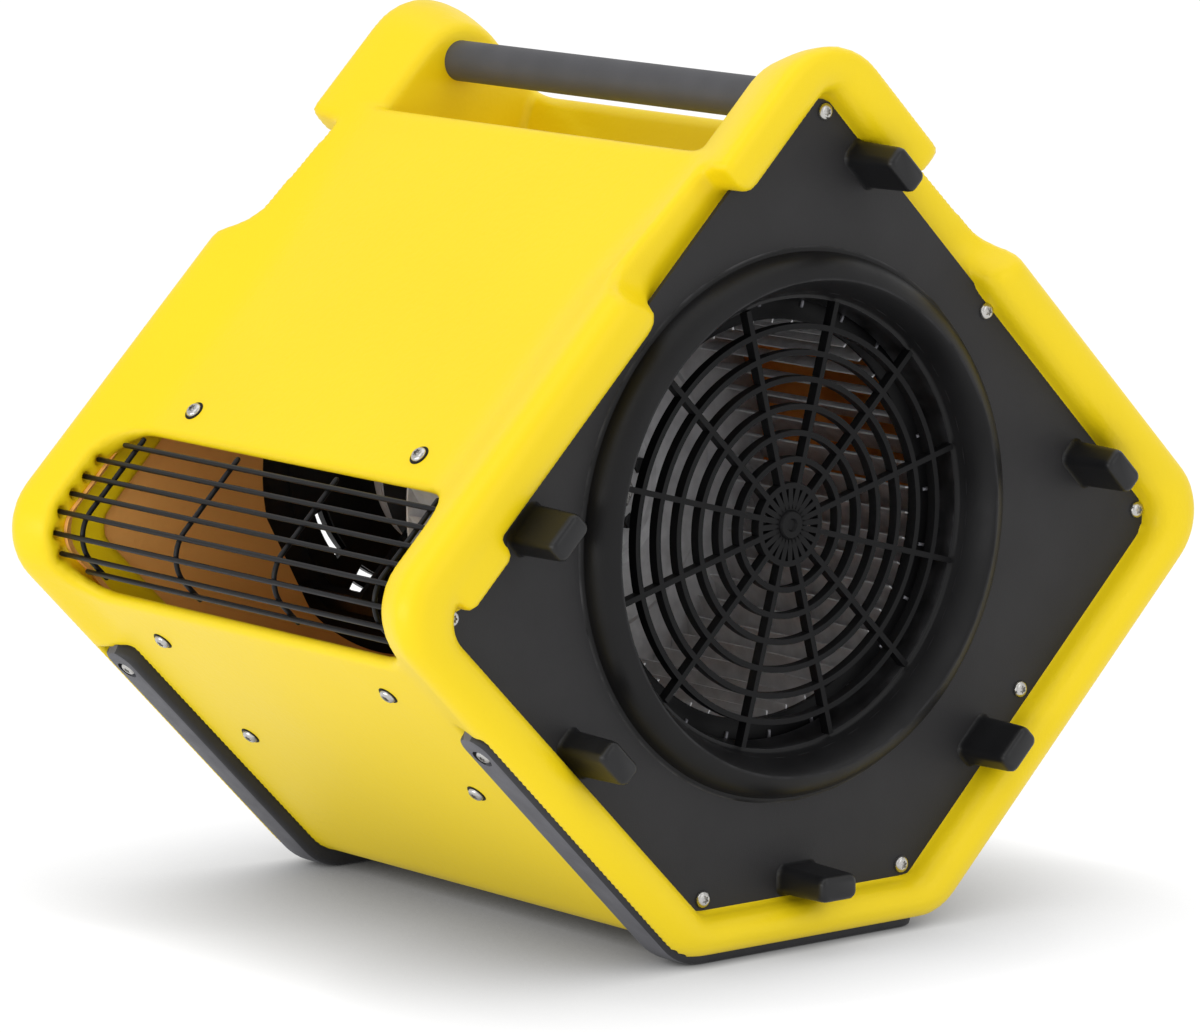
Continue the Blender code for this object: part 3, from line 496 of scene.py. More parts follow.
def revolve(name, profile, centre=FAN, sides=96, closed=True):
    """A ring from a closed (x, radius) profile, or a solid from one that starts and ends on the axis."""
    loops = [[(x, *polar(r, turn, centre)) for x, r in profile] for turn in full_turn(sides)]
    if closed:
        return loft(name, loops, ring=True)
    points = [(profile[0][0], *centre), (profile[-1][0], *centre)]
    rows = [loop[1:-1] for loop in loops]
    size = len(rows[0])
    for row in rows:
        points += row
    faces = []
    for step in range(sides):
        here, there = 2 + step * size, 2 + (step + 1) % sides * size
        faces.append((0, here, there))
        faces.append((1, there + size - 1, here + size - 1))
        for index in range(size - 1):
            faces.append((here + index, here + index + 1, there + index + 1, there + index))
    return object_of(name, points, faces)


def merged(name, objects):
    """One mesh of several objects, with their transforms applied."""
    built = bmesh.new()
    for obj in objects:
        copy = obj.data.copy()
        copy.transform(obj.matrix_basis)
        built.from_mesh(copy)
    mesh = bpy.data.meshes.new(name)
    built.to_mesh(mesh)
    built.free()
    return bpy.data.objects.new(name, mesh)


def cut(obj, tool):
    """Cuts one object out of another and keeps the result as its mesh."""
    link(obj)
    link(tool)
    modifier = obj.modifiers.new("cut", "BOOLEAN")
    modifier.operation = "DIFFERENCE"
    modifier.solver = "EXACT"
    modifier.object = tool
    graph = bpy.context.evaluated_depsgraph_get()
    mesh = bpy.data.meshes.new_from_object(obj.evaluated_get(graph))
    obj.modifiers.clear()
    obj.data = mesh
    bpy.data.objects.remove(tool)


# --- housing

# The outlet: its half width, and how far it reaches from the front corner along each face.
OUTLET = 0.16
OUTLET_UP = 0.1
OUTLET_DOWN = 0.061
OUTLET_DEPTH = 0.034
OUTLET_ROUND = 0.03
WIRES = 8
WIRE_INSET = 0.0175


def grille_path(inset, up=0.0966, down=0.0576):
    """(y, z) points of the outlet's curve at this inset, from its upper edge to its lower edge."""
    upper = from_front(UP, up, inset)
    lower = from_front(LOW, down, inset)
    corner = (-(HALF - inset * ROOT2), MIDDLE, 0.042 - inset)
    bend = rounded([(*upper, 0.0001), corner, (*lower, 0.0001)], 0.09)
    return [upper, *bend[2:-2], lower]


def wire_places():
    """The grille's long wires as (y, z, half length)."""
    points = [Vector(point) for point in grille_path(WIRE_INSET)]
    lengths = [(b - a).length for a, b in zip(points, points[1:])]
    total = sum(lengths)
    found = []
    for index in range(WIRES):
        target = total * (index + 0.6) / (WIRES + 0.2)
        edge = min(target, total - target)
        drawn_in = max(OUTLET_ROUND + 0.0015 - edge, 0)
        half = OUTLET - OUTLET_ROUND + sqrt(OUTLET_ROUND**2 - drawn_in**2)
        for start, end, length in zip(points, points[1:], lengths):
            if target <= length:
                found.append((*start.lerp(end, target / length), half))
                break
            target -= length
    return found


def add_housing():
    """The moulded shell, as one field of distances on a grid."""
    count = np.rint((GRID_HIGH - GRID_LOW) / VOXEL).astype(int)
    x, y, z = [(GRID_LOW[i] + VOXEL * np.arange(count[i] + 1)).astype(np.float32) for i in range(3)]
    x = x[:, None, None]
    far = np.abs(x)
    y = y[:, None]
    z = z[None, :]

    def flat(outline):
        return outline_distance(outline, y, z)[None]

    between_rims = flat(trough_outline(PANEL, LOWER, (0.061, 0.476), TROUGH_FLOOR))
    shell = slab(between_rims, far - PLATE_FRONT, 0.006)
    # Towards each end the faces rise gently to the rim, whose outer edge is rounded.
    drop = (MIDDLE + HALF - z)[None]
    along = (drop + np.abs(y)[None]) / ROOT2
    deep = (drop - np.abs(y)[None]) / ROOT2
    rise = blend_max((0.181 - far) * 0.375, np.zeros_like(far), 0.006)
    edge = np.where(along < 0.16, 0.007, 0.0155).astype(np.float32)
    rim = slab(flat(flange_outline()) + rise, far - RIM, edge)
    over_trough = flat(trough_outline(0.0, 0.0, (0.0666, 0.4913), TROUGH_FLOOR))
    rim = blend_max(rim, np.minimum(over_trough, EAR_INNER - far), 0.007)
    shell = blend_min(shell, rim, 0.005)
    # Each rim is cut back in X from the end of its ear to a slope, which leans near the outer surface.
    ear_end = np.where(y > 0, REAR_EAR_END, EAR_END)[None]
    run, fall, lean_depth = FLANGE_START - NOTCH_END, RIM - NOTCH_X, 0.03
    leaning = along - 0.42 * np.clip(lean_depth - deep, 0, lean_depth)
    slope = ((leaning - NOTCH_END) * fall - (far - NOTCH_X) * run) / hypot(run, fall)
    notch = blend_max(blend_max(ear_end - along, NOTCH_X - far, 0.006), slope, 0.014)
    shell = blend_max(shell, -np.maximum(notch, deep - 0.0345), 0.006)
    opening = slab(flat(rim_opening()), 0.177 - far, 0.0)
    shell = blend_max(shell, -opening, 0.018)
    shell = np.maximum(shell, -flat(ledge_outline()))
    cavity = flat(trough_outline(PANEL + WALL, LOWER + WALL, (0.0629, 0.4668), (0.0505, 0.433)))
    shell = np.maximum(shell, -slab(cavity, far - 0.162, 0.003))
    # The outlet wraps round the front corner, whose two faces are at right angles.
    up = ((y + HALF) + (z - MIDDLE)) / ROOT2
    down = ((y + HALF) - (z - MIDDLE)) / ROOT2

    def mouth(along_face, into_face, reach):
        box = rounded_box(x, along_face[None], -OUTLET, OUTLET, -0.04, reach, OUTLET_ROUND)
        return np.maximum(box, into_face[None] - OUTLET_DEPTH)

    outlet = np.minimum(mouth(up, down, OUTLET_UP), mouth(down, up, OUTLET_DOWN))
    shell = blend_max(shell, -outlet, 0.005)
    # The long wires end in scallops.
    slots = np.full(shell.shape[1:], 1.0, np.float32)
    for wire_y, wire_z, _ in wire_places()[1:-1]:
        slots = np.minimum(slots, np.hypot(y - wire_y, z - wire_z) - 0.0036)
    shell = blend_max(shell, -np.maximum(slots[None], np.abs(far - 0.155) - 0.0115), 0.002)
    # A lug on the near rim laps over the plate.
    lug = rounded_box(up, down, 0.045, 0.088, 0.03, 0.0478, 0.004)[None]
    shell = blend_min(shell, slab(lug, np.abs(x - 0.1845) - 0.0095, 0.003), 0.003)
    gap = 0.0006
    groove = slab(flat(skid_loop(-0.012, 0.0109, gap)), np.abs(far - SKID_X) - SKID_HALF - gap, 0.001)
    shell = blend_max(shell, -groove, 0.002)
    housing = object_of("housing_shell", *net_of(shell, GRID_LOW, VOXEL))
    finish_piece(housing, YELLOW, stands_for=["housing"], smooth=180)


def band(path, thickness):
    """The closed outline of a strip of this thickness along a path."""
    points = [Vector(point) for point in path]
    sides = ([], [])
    for index, point in enumerate(points):
        ahead = points[min(index + 1, len(points) - 1)] - points[max(index - 1, 0)]
        across = Vector((-ahead.y, ahead.x)).normalized() * thickness / 2
        sides[0].append(tuple(point + across))
        sides[1].append(tuple(point - across))
    return sides[0] + sides[1][::-1]


def prism(name, outline, low, high):
    return loft(name, [[(x, y, z) for y, z in outline] for x in (low, high)])


def volute_path(shift=0.0):
    """The volute wall's middle line: outlet roof, tongue, then the spiral round to the lower front."""
    path = [
        from_front(UP, 0.104, WIRE_INSET), (-0.162, 0.307), (-0.1585, 0.3084), (-0.156, 0.3108),
        (-0.1547, 0.314),
    ]
    for share in np.arange(97) / 96:
        path.append(polar(0.167 + share * 0.0545 - shift, radians(135 - share * 270)))
    return path


def add_volute():
    wall = prism("volute_wall", band(volute_path(), 0.004), -0.1744, 0.1744)
    # The volute wall is coloured with painted shade.
    finish_piece(wall, YELLOW_PAINTED_SHADE, smooth=50)


def add_volute_end_wall():
    """The moulded wall on the motor side, with a round opening for the motor and a soft outer corner."""
    hole, thickness = 0.127, 0.003
    spiral = volute_path(shift=0.002)[5:]
    duct = [from_front(LOW, 0.075, 0.0205), *grille_path(0.0215, 0.085, 0.06)[::-1]]
    roof = [from_front(UP, 0.1, 0.0215), (-0.162, 0.3045), (-0.156, 0.308), (-0.1527, 0.3135)]

    def drawn_in(x, depth, least):
        """The wall's edge at x, moved towards the fan's axis, but no nearer to it than least."""
        loop = []
        for point in (*spiral, *duct, *roof):
            away = Vector(point) - Vector(FAN)
            away.length = max(away.length - depth, least)
            loop.append((x, FAN[0] + away.x, FAN[1] + away.y))
        return loop

    corner = (
        (-0.1575, 0.0), (-0.1602, 0.0022), (-0.1625, 0.0065), (-0.1645, 0.0125), (-0.1658, 0.02),
        (-0.1664, 0.029),
    )
    inside = [drawn_in(x, depth, hole + 0.002) for x, depth in corner]
    bore = [drawn_in(x, HALF, hole) for x in (-0.1664, -0.1685)]
    outside = [[(x - thickness, y, z) for x, y, z in loop] for loop in inside[::-1]]
    wall = loft("volute_end_wall", [*inside, *bore, *outside], ring=True)
    # The motor-side wall is coloured with painted shade.
    finish_piece(wall, YELLOW_PAINTED_SHADE, smooth=40)


# --- plates, collar and guards


def polar_guard(name, x_low, x_high, rings, reach, bar, hub, extra, gaps):
    """Flat rings on radial spokes as one polar grid. Extra short spokes reach only the first ring."""
    radii = [hub]
    for fraction in rings:
        radii += [fraction * reach - bar / 2, fraction * reach + bar / 2]
    radii.append(reach)
    spokes = 24 if extra else 12
    step = 2 * pi / spokes
    cells = gaps + 1

    def angle_row(radius):
        half = asin(min(1, bar / 2 / radius))
        row = []
        for spoke in range(spokes):
            middle = radians(15) + spoke * step
            row.append(middle - half)
            row += [middle + half + (step - 2 * half) * cell / gaps for cell in range(gaps)]
        return row

    def solid(ring_band, index):
        if not 0 <= ring_band < len(radii) - 1:
            return False
        if ring_band % 2 == 1:
            return True
        spoke, cell = divmod(index % (spokes * cells), cells)
        return cell == 0 and (not extra or spoke % 2 == 0 or ring_band == 0)

    built = bmesh.new()
    grids = []
    for x in (x_low, x_high):
        rows = []
        for radius in radii:
            rows.append([built.verts.new((x, *polar(radius, angle))) for angle in angle_row(radius)])
        grids.append(rows)
    count = spokes * cells
    for rows in grids:
        built.faces.new(rows[0])
        for index in range(count):
            following = (index + 1) % count
            for ring_band in range(len(radii) - 1):
                if solid(ring_band, index):
                    inner, outer = rows[ring_band], rows[ring_band + 1]
                    built.faces.new((inner[index], inner[following], outer[following], outer[index]))
    back, front = grids
    for index in range(count):
        following = (index + 1) % count
        for ring_band in range(-1, len(radii) - 1):
            here = ring_band < 0 or solid(ring_band, index)
            row = ring_band + 1
            if here != solid(ring_band + 1, index):
                built.faces.new((
                    back[row][index], back[row][following], front[row][following], front[row][index]
                ))
            if ring_band >= 0 and here != solid(ring_band, index - 1):
                built.faces.new((
                    back[ring_band][index], back[row][index], front[row][index], front[ring_band][index]
                ))
    bmesh.ops.delete(built, geom=[v for v in built.verts if not v.link_faces], context="VERTS")
    bmesh.ops.recalc_face_normals(built, faces=built.faces)
    mesh = bpy.data.meshes.new(name)
    built.to_mesh(mesh)
    built.free()
    return bpy.data.objects.new(name, mesh)


def add_guards():
    rings = (0.174, 0.29, 0.406, 0.522, 0.645, 0.761, 0.877)
    guard = polar_guard("inlet_guard_ribs", 0.168, 0.1745, rings, 0.1326, 0.0034, 0.0095, True, 5)
    finish_piece(guard, GUARD_BLACK, stands_for=["inlet_guard"], bevel=(0.0007, 2))
    boss = [
        (0.168, 0), (0.168, 0.0088), (0.175, 0.0088), (0.1762, 0.0076), (0.1762, 0.004), (0.1748, 0.003),
        (0.1748, 0),
    ]
    finish_piece(revolve("guard_boss", boss, sides=48, closed=False), GUARD_BLACK)
    rings = (0.2, 0.3, 0.4, 0.5, 0.6, 0.7, 0.8, 0.9)
    guard = polar_guard("motor_guard_ribs", -0.1782, -0.1725, rings, 0.1003, 0.004, 0.0095, False, 10)
    finish_piece(guard, GUARD_BLACK, stands_for=["motor_guard"], bevel=(0.0007, 2))


def add_motor_baffle():
    """A black ring round the motor, just inside the guard, with two cooling slots."""
    profile = [(-0.1712, 0.03), (-0.1712, 0.104), (-0.1692, 0.104), (-0.1692, 0.03)]
    disc = revolve("motor_baffle", profile)
    for first, last, radius, width in ((-160, -138, 0.085, 0.01), (-126, -84, 0.09, 0.017)):
        arc = [polar(radius, angle) for angle in np.radians(np.linspace(first, last, 9))]
        cut(disc, prism("slot", band(arc, width), -0.18, -0.16))
    finish_piece(disc, SATIN_BLACK, smooth=30)


def add_collar():
    """The flared inlet ring: a step on the plate, a rounded crest and a funnel down to the guard."""
    outer = [
        (0.1775, 0.164), (0.1786, 0.163), (0.179, 0.1618), (0.1792, 0.1606), (0.1815, 0.1603),
        (0.185, 0.159), (0.1885, 0.1567), (0.1915, 0.1534), (0.1935, 0.15), (0.1946, 0.1474),
        (0.195, 0.1464), (0.195, 0.1456), (0.1944, 0.145), (0.1925, 0.1436), (0.1885, 0.1412),
        (0.1835, 0.1388), (0.178, 0.1368), (0.174, 0.1356), (0.1722, 0.1348), (0.1716, 0.1338),
        (0.1716, 0.1326), (0.165, 0.1322), (0.1536, 0.13),
    ]
    inner = [
        (0.1532, 0.1312), (0.165, 0.1345), (0.17, 0.1362), (0.176, 0.1385), (0.183, 0.1412), (0.189, 0.144),
        (0.1915, 0.147), (0.1905, 0.1505), (0.186, 0.155), (0.1785, 0.1585), (0.1775, 0.16),
    ]
    collar = revolve("inlet_collar_ring", outer + inner, sides=144)
    # The lighter lines on the crest and the step are a painted highlight.
    finish_piece(collar, FUNNEL_BLACK, stands_for=["inlet_collar"], smooth=60)


# Each foot's place and turn, as (y, z, degrees).
FEET = {
    "upper": (0.04, 0.459, -45), "rear": (0.22, 0.266, -45), "rear_low": (0.138, 0.106, 45),
    "base": (-0.005, 0.041, 0), "front_low": (-0.173, 0.136, -45), "front": (-0.211, 0.269, 45),
}


def add_feet():
    """Moulded feet: a flared skirt, a straight body and a crowned tip."""
    # Each station is (x, length, width, corner radius).
    stations = (
        (0.1782, 0.0318, 0.0198, 0.0062), (0.1792, 0.03, 0.018, 0.0056), (0.182, 0.0288, 0.0168, 0.0052),
        (0.212, 0.0276, 0.0156, 0.0048), (0.2148, 0.0268, 0.0148, 0.0045), (0.2164, 0.0246, 0.0126, 0.0038),
        (0.217, 0.0216, 0.0096, 0.003),
    )
    for prefix, side in (("inlet", 1), ("motor", -1)):
        for place, (y, z, angle) in FEET.items():
            turn = Matrix.Rotation(radians(angle), 2)
            loops = []
            for x, length, width, radius in stations:
                section = rounded(rectangle(length / 2, width / 2, radius), 0.25)
                loops.append([(side * x, *(Vector((y, z)) + turn @ Vector(point))) for point in section])
            name = f"{prefix}_foot_{place}"
            foot = loft(f"{name}_moulding", loops)
            finish_piece(foot, SATIN_BLACK, stands_for=[name], smooth=40)


# --- fasteners


def screw_mesh():
    """A pan head along +X with a six-lobed recess, seated at the origin."""
    # Each station is (x, radius, lobed).
    stations = (
        (-0.01, 0.002, 0), (-0.0002, 0.002, 0), (0.0000, 0.005, 0), (0.0008, 0.0051, 0),
        (0.0018, 0.0046, 0), (0.0025, 0.0038, 0), (0.0028, 0.003, 0), (0.0028, 0.0022, 1),
        (0.0013, 0.002, 1),
    )
    loops = []
    for x, radius, lobed in stations:
        lobes = [1 + lobed * 0.2 * cos(6 * turn) for turn in full_turn(36)]
        loops.append([(x, *polar(radius * lobe, turn, (0, 0))) for lobe, turn in zip(lobes, full_turn(36))])
    return loft("pan_head", loops).data


# The screws of the motor plate, which has none in the CAD, as (y, z).
MOTOR_SCREWS = {
    "top": (0.009, 0.4916), "rear_up": (0.1395, 0.365), "rear": (0.268, 0.233),
    "rear_low": (0.173, 0.133), "base_rear": (0.078, 0.038), "base_front": (-0.078, 0.038),
    "front": (-0.266, 0.224), "front_up": (-0.1395, 0.365),
}


def screw_seat(node):
    """Where a CAD screw's head sits on the visual surface, and which way it faces."""
    low, high = (Vector(corner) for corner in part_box(node))
    if node.startswith("plate"):
        return Vector((PLATE_FRONT, (low.y + high.y) / 2, (low.z + high.z) / 2)), Vector((1, 0, 0))
    if node.startswith("upper"):
        face, inset, along = UP, PANEL, 0.12
    elif node.startswith("skid"):
        face, inset, along = LOW, 0.003, SKID_SCREW
    else:
        face, inset, along = LOW, LOWER, 0.095 if "_high_" in node else 0.187
    out = Vector((0, -1, 1 if face == UP else -1)).normalized()
    return Vector(((low.x + high.x) / 2, *from_front(face, along, inset))), out


def circle(seat, out, lift, radius, count):
    """A circle round the line through seat along out, at a height above seat."""
    turn = out.to_track_quat("X", "Z").to_matrix()
    return [seat + turn @ Vector((lift, *polar(radius, angle, (0, 0)))) for angle in full_turn(count)]


def place_screw(name, shape, seat, out, stands_for=()):
    """One screw, turned by an angle of its own so that the recesses don't line up."""
    mesh = shape.copy()
    spin = Matrix.Rotation(seat.y * 37 + seat.z * 11, 4, "X")
    turn = out.to_track_quat("X", "Z").to_matrix().to_4x4()
    mesh.transform(Matrix.Translation(seat) @ turn @ spin)
    screw = bpy.data.objects.new(name, mesh)
    finish_piece(screw, STAINLESS, stands_for=stands_for, smooth=35)


def add_screws():
    """The plates' screws, and those in the yellow faces, each with a thin dark ring under its head."""
    shape = screw_mesh()
    for node in sorted(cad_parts):
        if "screw" not in node:
            continue
        seat, out = screw_seat(node)
        place_screw(f"{node}_head", shape, seat, out, [node])
        if not node.startswith(("plate", "skid")):
            # A thin dark ring, slightly raised, under each head in the yellow faces.
            profile = ((-0.001, 0.0064), (0.0003, 0.0064), (0.0007, 0.006), (0.0007, 0.0046))
            dark_ring = loft(f"{node}_washer", [circle(seat, out, lift, r, 36) for lift, r in profile])
            finish_piece(dark_ring, GUARD_BLACK, smooth=35)
    for place, (y, z) in MOTOR_SCREWS.items():
        place_screw(f"motor_{place}_head", shape, Vector((-PLATE_FRONT, y, z)), Vector((-1, 0, 0)))


# --- handle, skids and grille


def add_handle():
    middle = [(x, 0.0125) for x in (-0.1648, -0.12, -0.06, 0.0, 0.06, 0.12, 0.1648)]
    profile = [(-0.1655, 0.0105), (-0.1655, 0.0117), *middle, (0.1655, 0.0117), (0.1655, 0.0105)]
    tube = revolve("grip_tube", profile, centre=(0.0, 0.496), sides=64)
    finish_piece(tube, GRIP, stands_for=["handle_tube"])


def skid_stations():
    """Stations along a skid's bent line, as (point, outward direction, distance from the nearer end)."""
    corner = base_corner(-1, SKID_INSET, SKID_BOTTOM)
    start = Vector(on_face(-1, LOW, SKID_TOP, SKID_INSET))
    end = Vector((SKID_TAIL, corner[1]))
    bend = rounded([(*start, 0.0001), (*corner, 0.042), (*end, 0.0001)], 0.12)
    line = [start, *[Vector(point) for point in bend[2:-2]], end]
    lengths = np.cumsum([0] + [(b - a).length for a, b in zip(line, line[1:])])
    total = lengths[-1]
    ends = SKID_ROUND * (1 - np.cos(np.linspace(0, pi / 2, 7)))
    inner = [value for value in lengths[1:-1] if SKID_ROUND < value < total - SKID_ROUND]
    stations = []
    for distance in [*ends, *inner, *(total - ends[::-1])]:
        index = min(np.searchsorted(lengths, distance, side="right") - 1, len(line) - 2)
        share = (distance - lengths[index]) / (lengths[index + 1] - lengths[index])
        before = line[max(index - (share < 0.01), 0)]
        ahead = (line[index + 1] - before).normalized()
        spot = line[index].lerp(line[index + 1], share)
        stations.append((spot, Vector((ahead.y, -ahead.x)), min(distance, total - distance)))
    return stations


def add_skids():
    """Each skid is swept along its bent line, with rounded ends, bevels and sides in painted shade, a lighter
    top and a sunk screw.
    """
    # The section is (share of the half width, height), and a height of -1 is as deep as the groove allows.
    bevel = ((0.6, 0.0), (0.76, -0.0004), (0.92, -0.0016), (1, -0.0036), (1, -1))
    section = [*((-a, lift) for a, lift in bevel[::-1]), *bevel]
    for side, place in ((1, "near"), (-1, "far")):
        loops = []
        for spot, out, edge in skid_stations():
            from_round = (SKID_ROUND - min(edge, SKID_ROUND)) / SKID_ROUND
            half = SKID_HALF * sqrt(max(1 - from_round**2, 0.004))
            sink = 0.01 + 0.0045 * (1 - min(1, abs(out.x) * ROOT2))
            points = [(half * a, spot + out * max(lift, -sink)) for a, lift in section]
            loops.append([(side * SKID_X + across, *point) for across, point in points])
        skid = loft(f"skid_{place}_strip", loops)
        seat = Vector((side * SKID_X, *from_front(LOW, SKID_SCREW, 0.0032)))
        down = Vector((0, -1, -1)).normalized()
        cut(skid, loft("sink", [circle(seat, down, lift, 0.0066, 32) for lift in (0.0, 0.02)]))
        # The strip is in the painted shade copy, and only its top faces get the lighter rubber.
        finish_piece(skid, SKID_PAINTED_SHADE, stands_for=[f"skid_{place}"], smooth=40)
        skid.data.materials.append(SKID)
        for face in skid.data.polygons:
            across = max(abs(skid.data.vertices[i].co.x - side * SKID_X) for i in face.vertices)
            if abs(face.normal.x) < 0.3 and across < 0.8 * SKID_HALF:
                face.material_index = 1


def tube_along(name, points, radius):
    """A round wire through points, with domed ends."""
    points = [Vector(point) for point in points]
    loops = []
    up = (points[1] - points[0]).orthogonal().normalized()
    for index, point in enumerate(points):
        ahead = (points[min(index + 1, len(points) - 1)] - points[max(index - 1, 0)]).normalized()
        up = (up - ahead * up.dot(ahead)).normalized()
        across = ahead.cross(up)
        # Each ring is (shift along the wire, share of the radius).
        rings = [(0, 1)]
        if index == 0:
            rings = [(-0.9, 0.35), (-0.55, 0.8), (0, 1)]
        elif index == len(points) - 1:
            rings = [(0, 1), (0.55, 0.8), (0.9, 0.35)]
        for shift, scale in rings:
            centre = point + ahead * radius * shift
            loops.append([
                centre + (up * cos(t) + across * sin(t)) * radius * scale for t in full_turn(12)
            ])
    return loft(name, loops)


def add_grille():
    radius = 0.0016
    wires = []
    for index, (y, z, half) in enumerate(wire_places()):
        reach = half if index in (0, WIRES - 1) else half + 0.0045
        spots = [(x, y, z) for x in np.linspace(-reach, reach, 9)]
        wires.append(tube_along(f"wire_{index}", spots, radius))
    inner = grille_path(WIRE_INSET + 0.0028)
    for x in (-0.14, -0.047, 0.047, 0.14):
        wires.append(tube_along(f"cross_{x}", [(x, y, z) for y, z in inner], radius))
    grille = merged("outlet_grille_wires", wires)
    finish_piece(grille, WIRE, stands_for=["outlet_grille"], smooth=60)


# --- impeller and motor


def spoke(angle):
    """Unit vectors along and across a radius of the fan."""
    along = Vector((0, cos(angle), sin(angle)))
    return along, Vector((0, -along.z, along.y))


def add_impeller():
    parts = []
    back = [
        (-0.01, 0.0063), (-0.007, 0.0063), (-0.007, 0.052), (-0.004, 0.056), (-0.004, 0.09),
        (-0.007, 0.094), (-0.007, 0.1385), (-0.0078, 0.1398), (-0.0092, 0.1398), (-0.01, 0.1385),
        (-0.01, 0.094), (-0.007, 0.09), (-0.007, 0.056), (-0.01, 0.052),
    ]
    parts.append(revolve("back_disc", back, sides=120))
    front = [
        (0.147, 0.118), (0.15, 0.118), (0.1506, 0.12), (0.1506, 0.138), (0.1496, 0.1398), (0.1474, 0.1398),
        (0.1464, 0.1385), (0.1464, 0.12),
    ]
    finish_piece(revolve("front_ring", front, sides=120), GUARD_BLACK, body="rotor")
    blades = 48
    for blade in range(blades):
        path = []
        for share in np.arange(8) / 7:
            angle = radians(360 * (blade + 0.5) / blades - 9.3 * share**1.7)
            path.append(polar(0.1155 + 0.0235 * share, angle))
        parts.append(prism("blade", band(path, 0.001), -0.0075, 0.1475))
    wheel = merged("impeller_wheel", parts)
    finish_piece(wheel, GALVANISED, body="rotor", stands_for=["impeller"], smooth=35)
    add_blade_tabs(blades)
    head = [(-0.0032, 0), (-0.0032, 0.0052), (0.0008, 0.0052), (0.0016, 0.0044), (0.0016, 0)]
    for index, angle in enumerate(full_turn(6)):
        bolt = revolve(f"hub_bolt_{index}", head, centre=polar(0.034, angle + 0.3), sides=6, closed=False)
        finish_piece(bolt, SATIN_BLACK, body="rotor", smooth=20, bevel=(0.0004, 2))


def add_blade_tabs(blades):
    """The ends of every second blade, folded over the front ring."""
    tabs = []
    for blade in range(0, blades, 2):
        angle = 2 * pi * (blade + 0.35) / blades
        along, across = spoke(angle)
        loops = []
        for lift, scale in ((-0.0004, 1), (0.0008, 1), (0.0013, 0.7)):
            middle = Vector((0.1506 + lift, *polar(0.129, angle)))
            corners = rectangle(0.003 * scale, 0.001 * scale)
            loops.append([middle + along * a + across * b for a, b in corners])
        tabs.append(loft("tab", loops))
    finish_piece(merged("blade_tabs", tabs), LAMINATION, body="rotor", smooth=30)


def add_motor():
    hub = [
        (-0.0067, 0.0063), (-0.0067, 0.0445), (-0.006, 0.045), (-0.0036, 0.045), (-0.003, 0.0444),
        (-0.003, 0.0262), (-0.002, 0.0246), (0.0, 0.0236), (0.0125, 0.0204), (0.0145, 0.0196),
        (0.015, 0.0184), (0.015, 0.0063),
    ]
    finish_piece(
        revolve("hub_casting", hub), CAST, body="rotor", stands_for=["impeller_hub"]
    )
    nut = [
        (0.0153, 0.0064), (0.0153, 0.0098), (0.016, 0.0109), (0.0213, 0.0109), (0.022, 0.0098),
        (0.022, 0.0064),
    ]
    finish_piece(
        revolve("lock_nut", nut, sides=6), STAINLESS, body="rotor", stands_for=["hub_nut"],
        bevel=(0.0004, 2), smooth=25,
    )
    shaft = [
        (-0.156, 0), (-0.156, 0.0052), (-0.1552, 0.006), (0.0216, 0.006), (0.0224, 0.0052), (0.0224, 0),
    ]
    turned = revolve("turned_shaft", shaft, closed=False, sides=48)
    finish_piece(turned, STAINLESS, body="rotor", stands_for=["motor_shaft"])
    casing = [
        (-0.04, 0.0163), (-0.04, 0.05), (-0.0412, 0.0535), (-0.044, 0.056), (-0.048, 0.0572),
        (-0.14, 0.0572), (-0.14, 0.054), (-0.046, 0.054), (-0.046, 0.022), (-0.052, 0.022),
        (-0.052, 0.0163),
    ]
    parts = [revolve("casing", casing)]
    root = 0.056
    for angle in full_turn(36):
        along, across = spoke(angle)
        for low, high in ((-0.106, -0.047), (-0.1385, -0.134)):
            loops = []
            for x, reach in ((low, 0.0572), (low + 0.002, 0.0582), (high - 0.003, 0.0582), (high, 0.0572)):
                section = ((root, -0.001), (reach, -0.0008), (reach, 0.0008), (root, 0.001))
                loops.append([Vector((x, *FAN)) + along * r + across * w for r, w in section])
            parts.append(loft("fin", loops))
    finish_piece(merged("finned_casing", parts), CAST, stands_for=["motor_casing"])
    bell = [
        (-0.1403, 0.0163), (-0.1403, 0.0575), (-0.144, 0.058), (-0.147, 0.057), (-0.15, 0.05),
        (-0.152, 0.044), (-0.152, 0.025), (-0.1535, 0.0235), (-0.1535, 0.0163),
    ]
    finish_piece(revolve("end_bell_casting", bell), CAST, stands_for=["motor_end_bell"])


def dress_cad_nodes():
    """The CAD nodes that stay as they are get a material of their own."""
    materials = {
        "front_bearing": STAINLESS, "rear_bearing": STAINLESS, "stator_core": LAMINATION,
        "rotor_core": LAMINATION, "front_winding": COPPER, "rear_winding": COPPER,
        "motor_bracket": SATIN_BLACK, "run_capacitor": GREY, "switch_box": GREY, "inlet_plate": BLACK,
        "motor_plate": BLACK,
    }
    for node, material in materials.items():
        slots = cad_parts[node].data.materials
        slots.clear()
        slots.append(material)


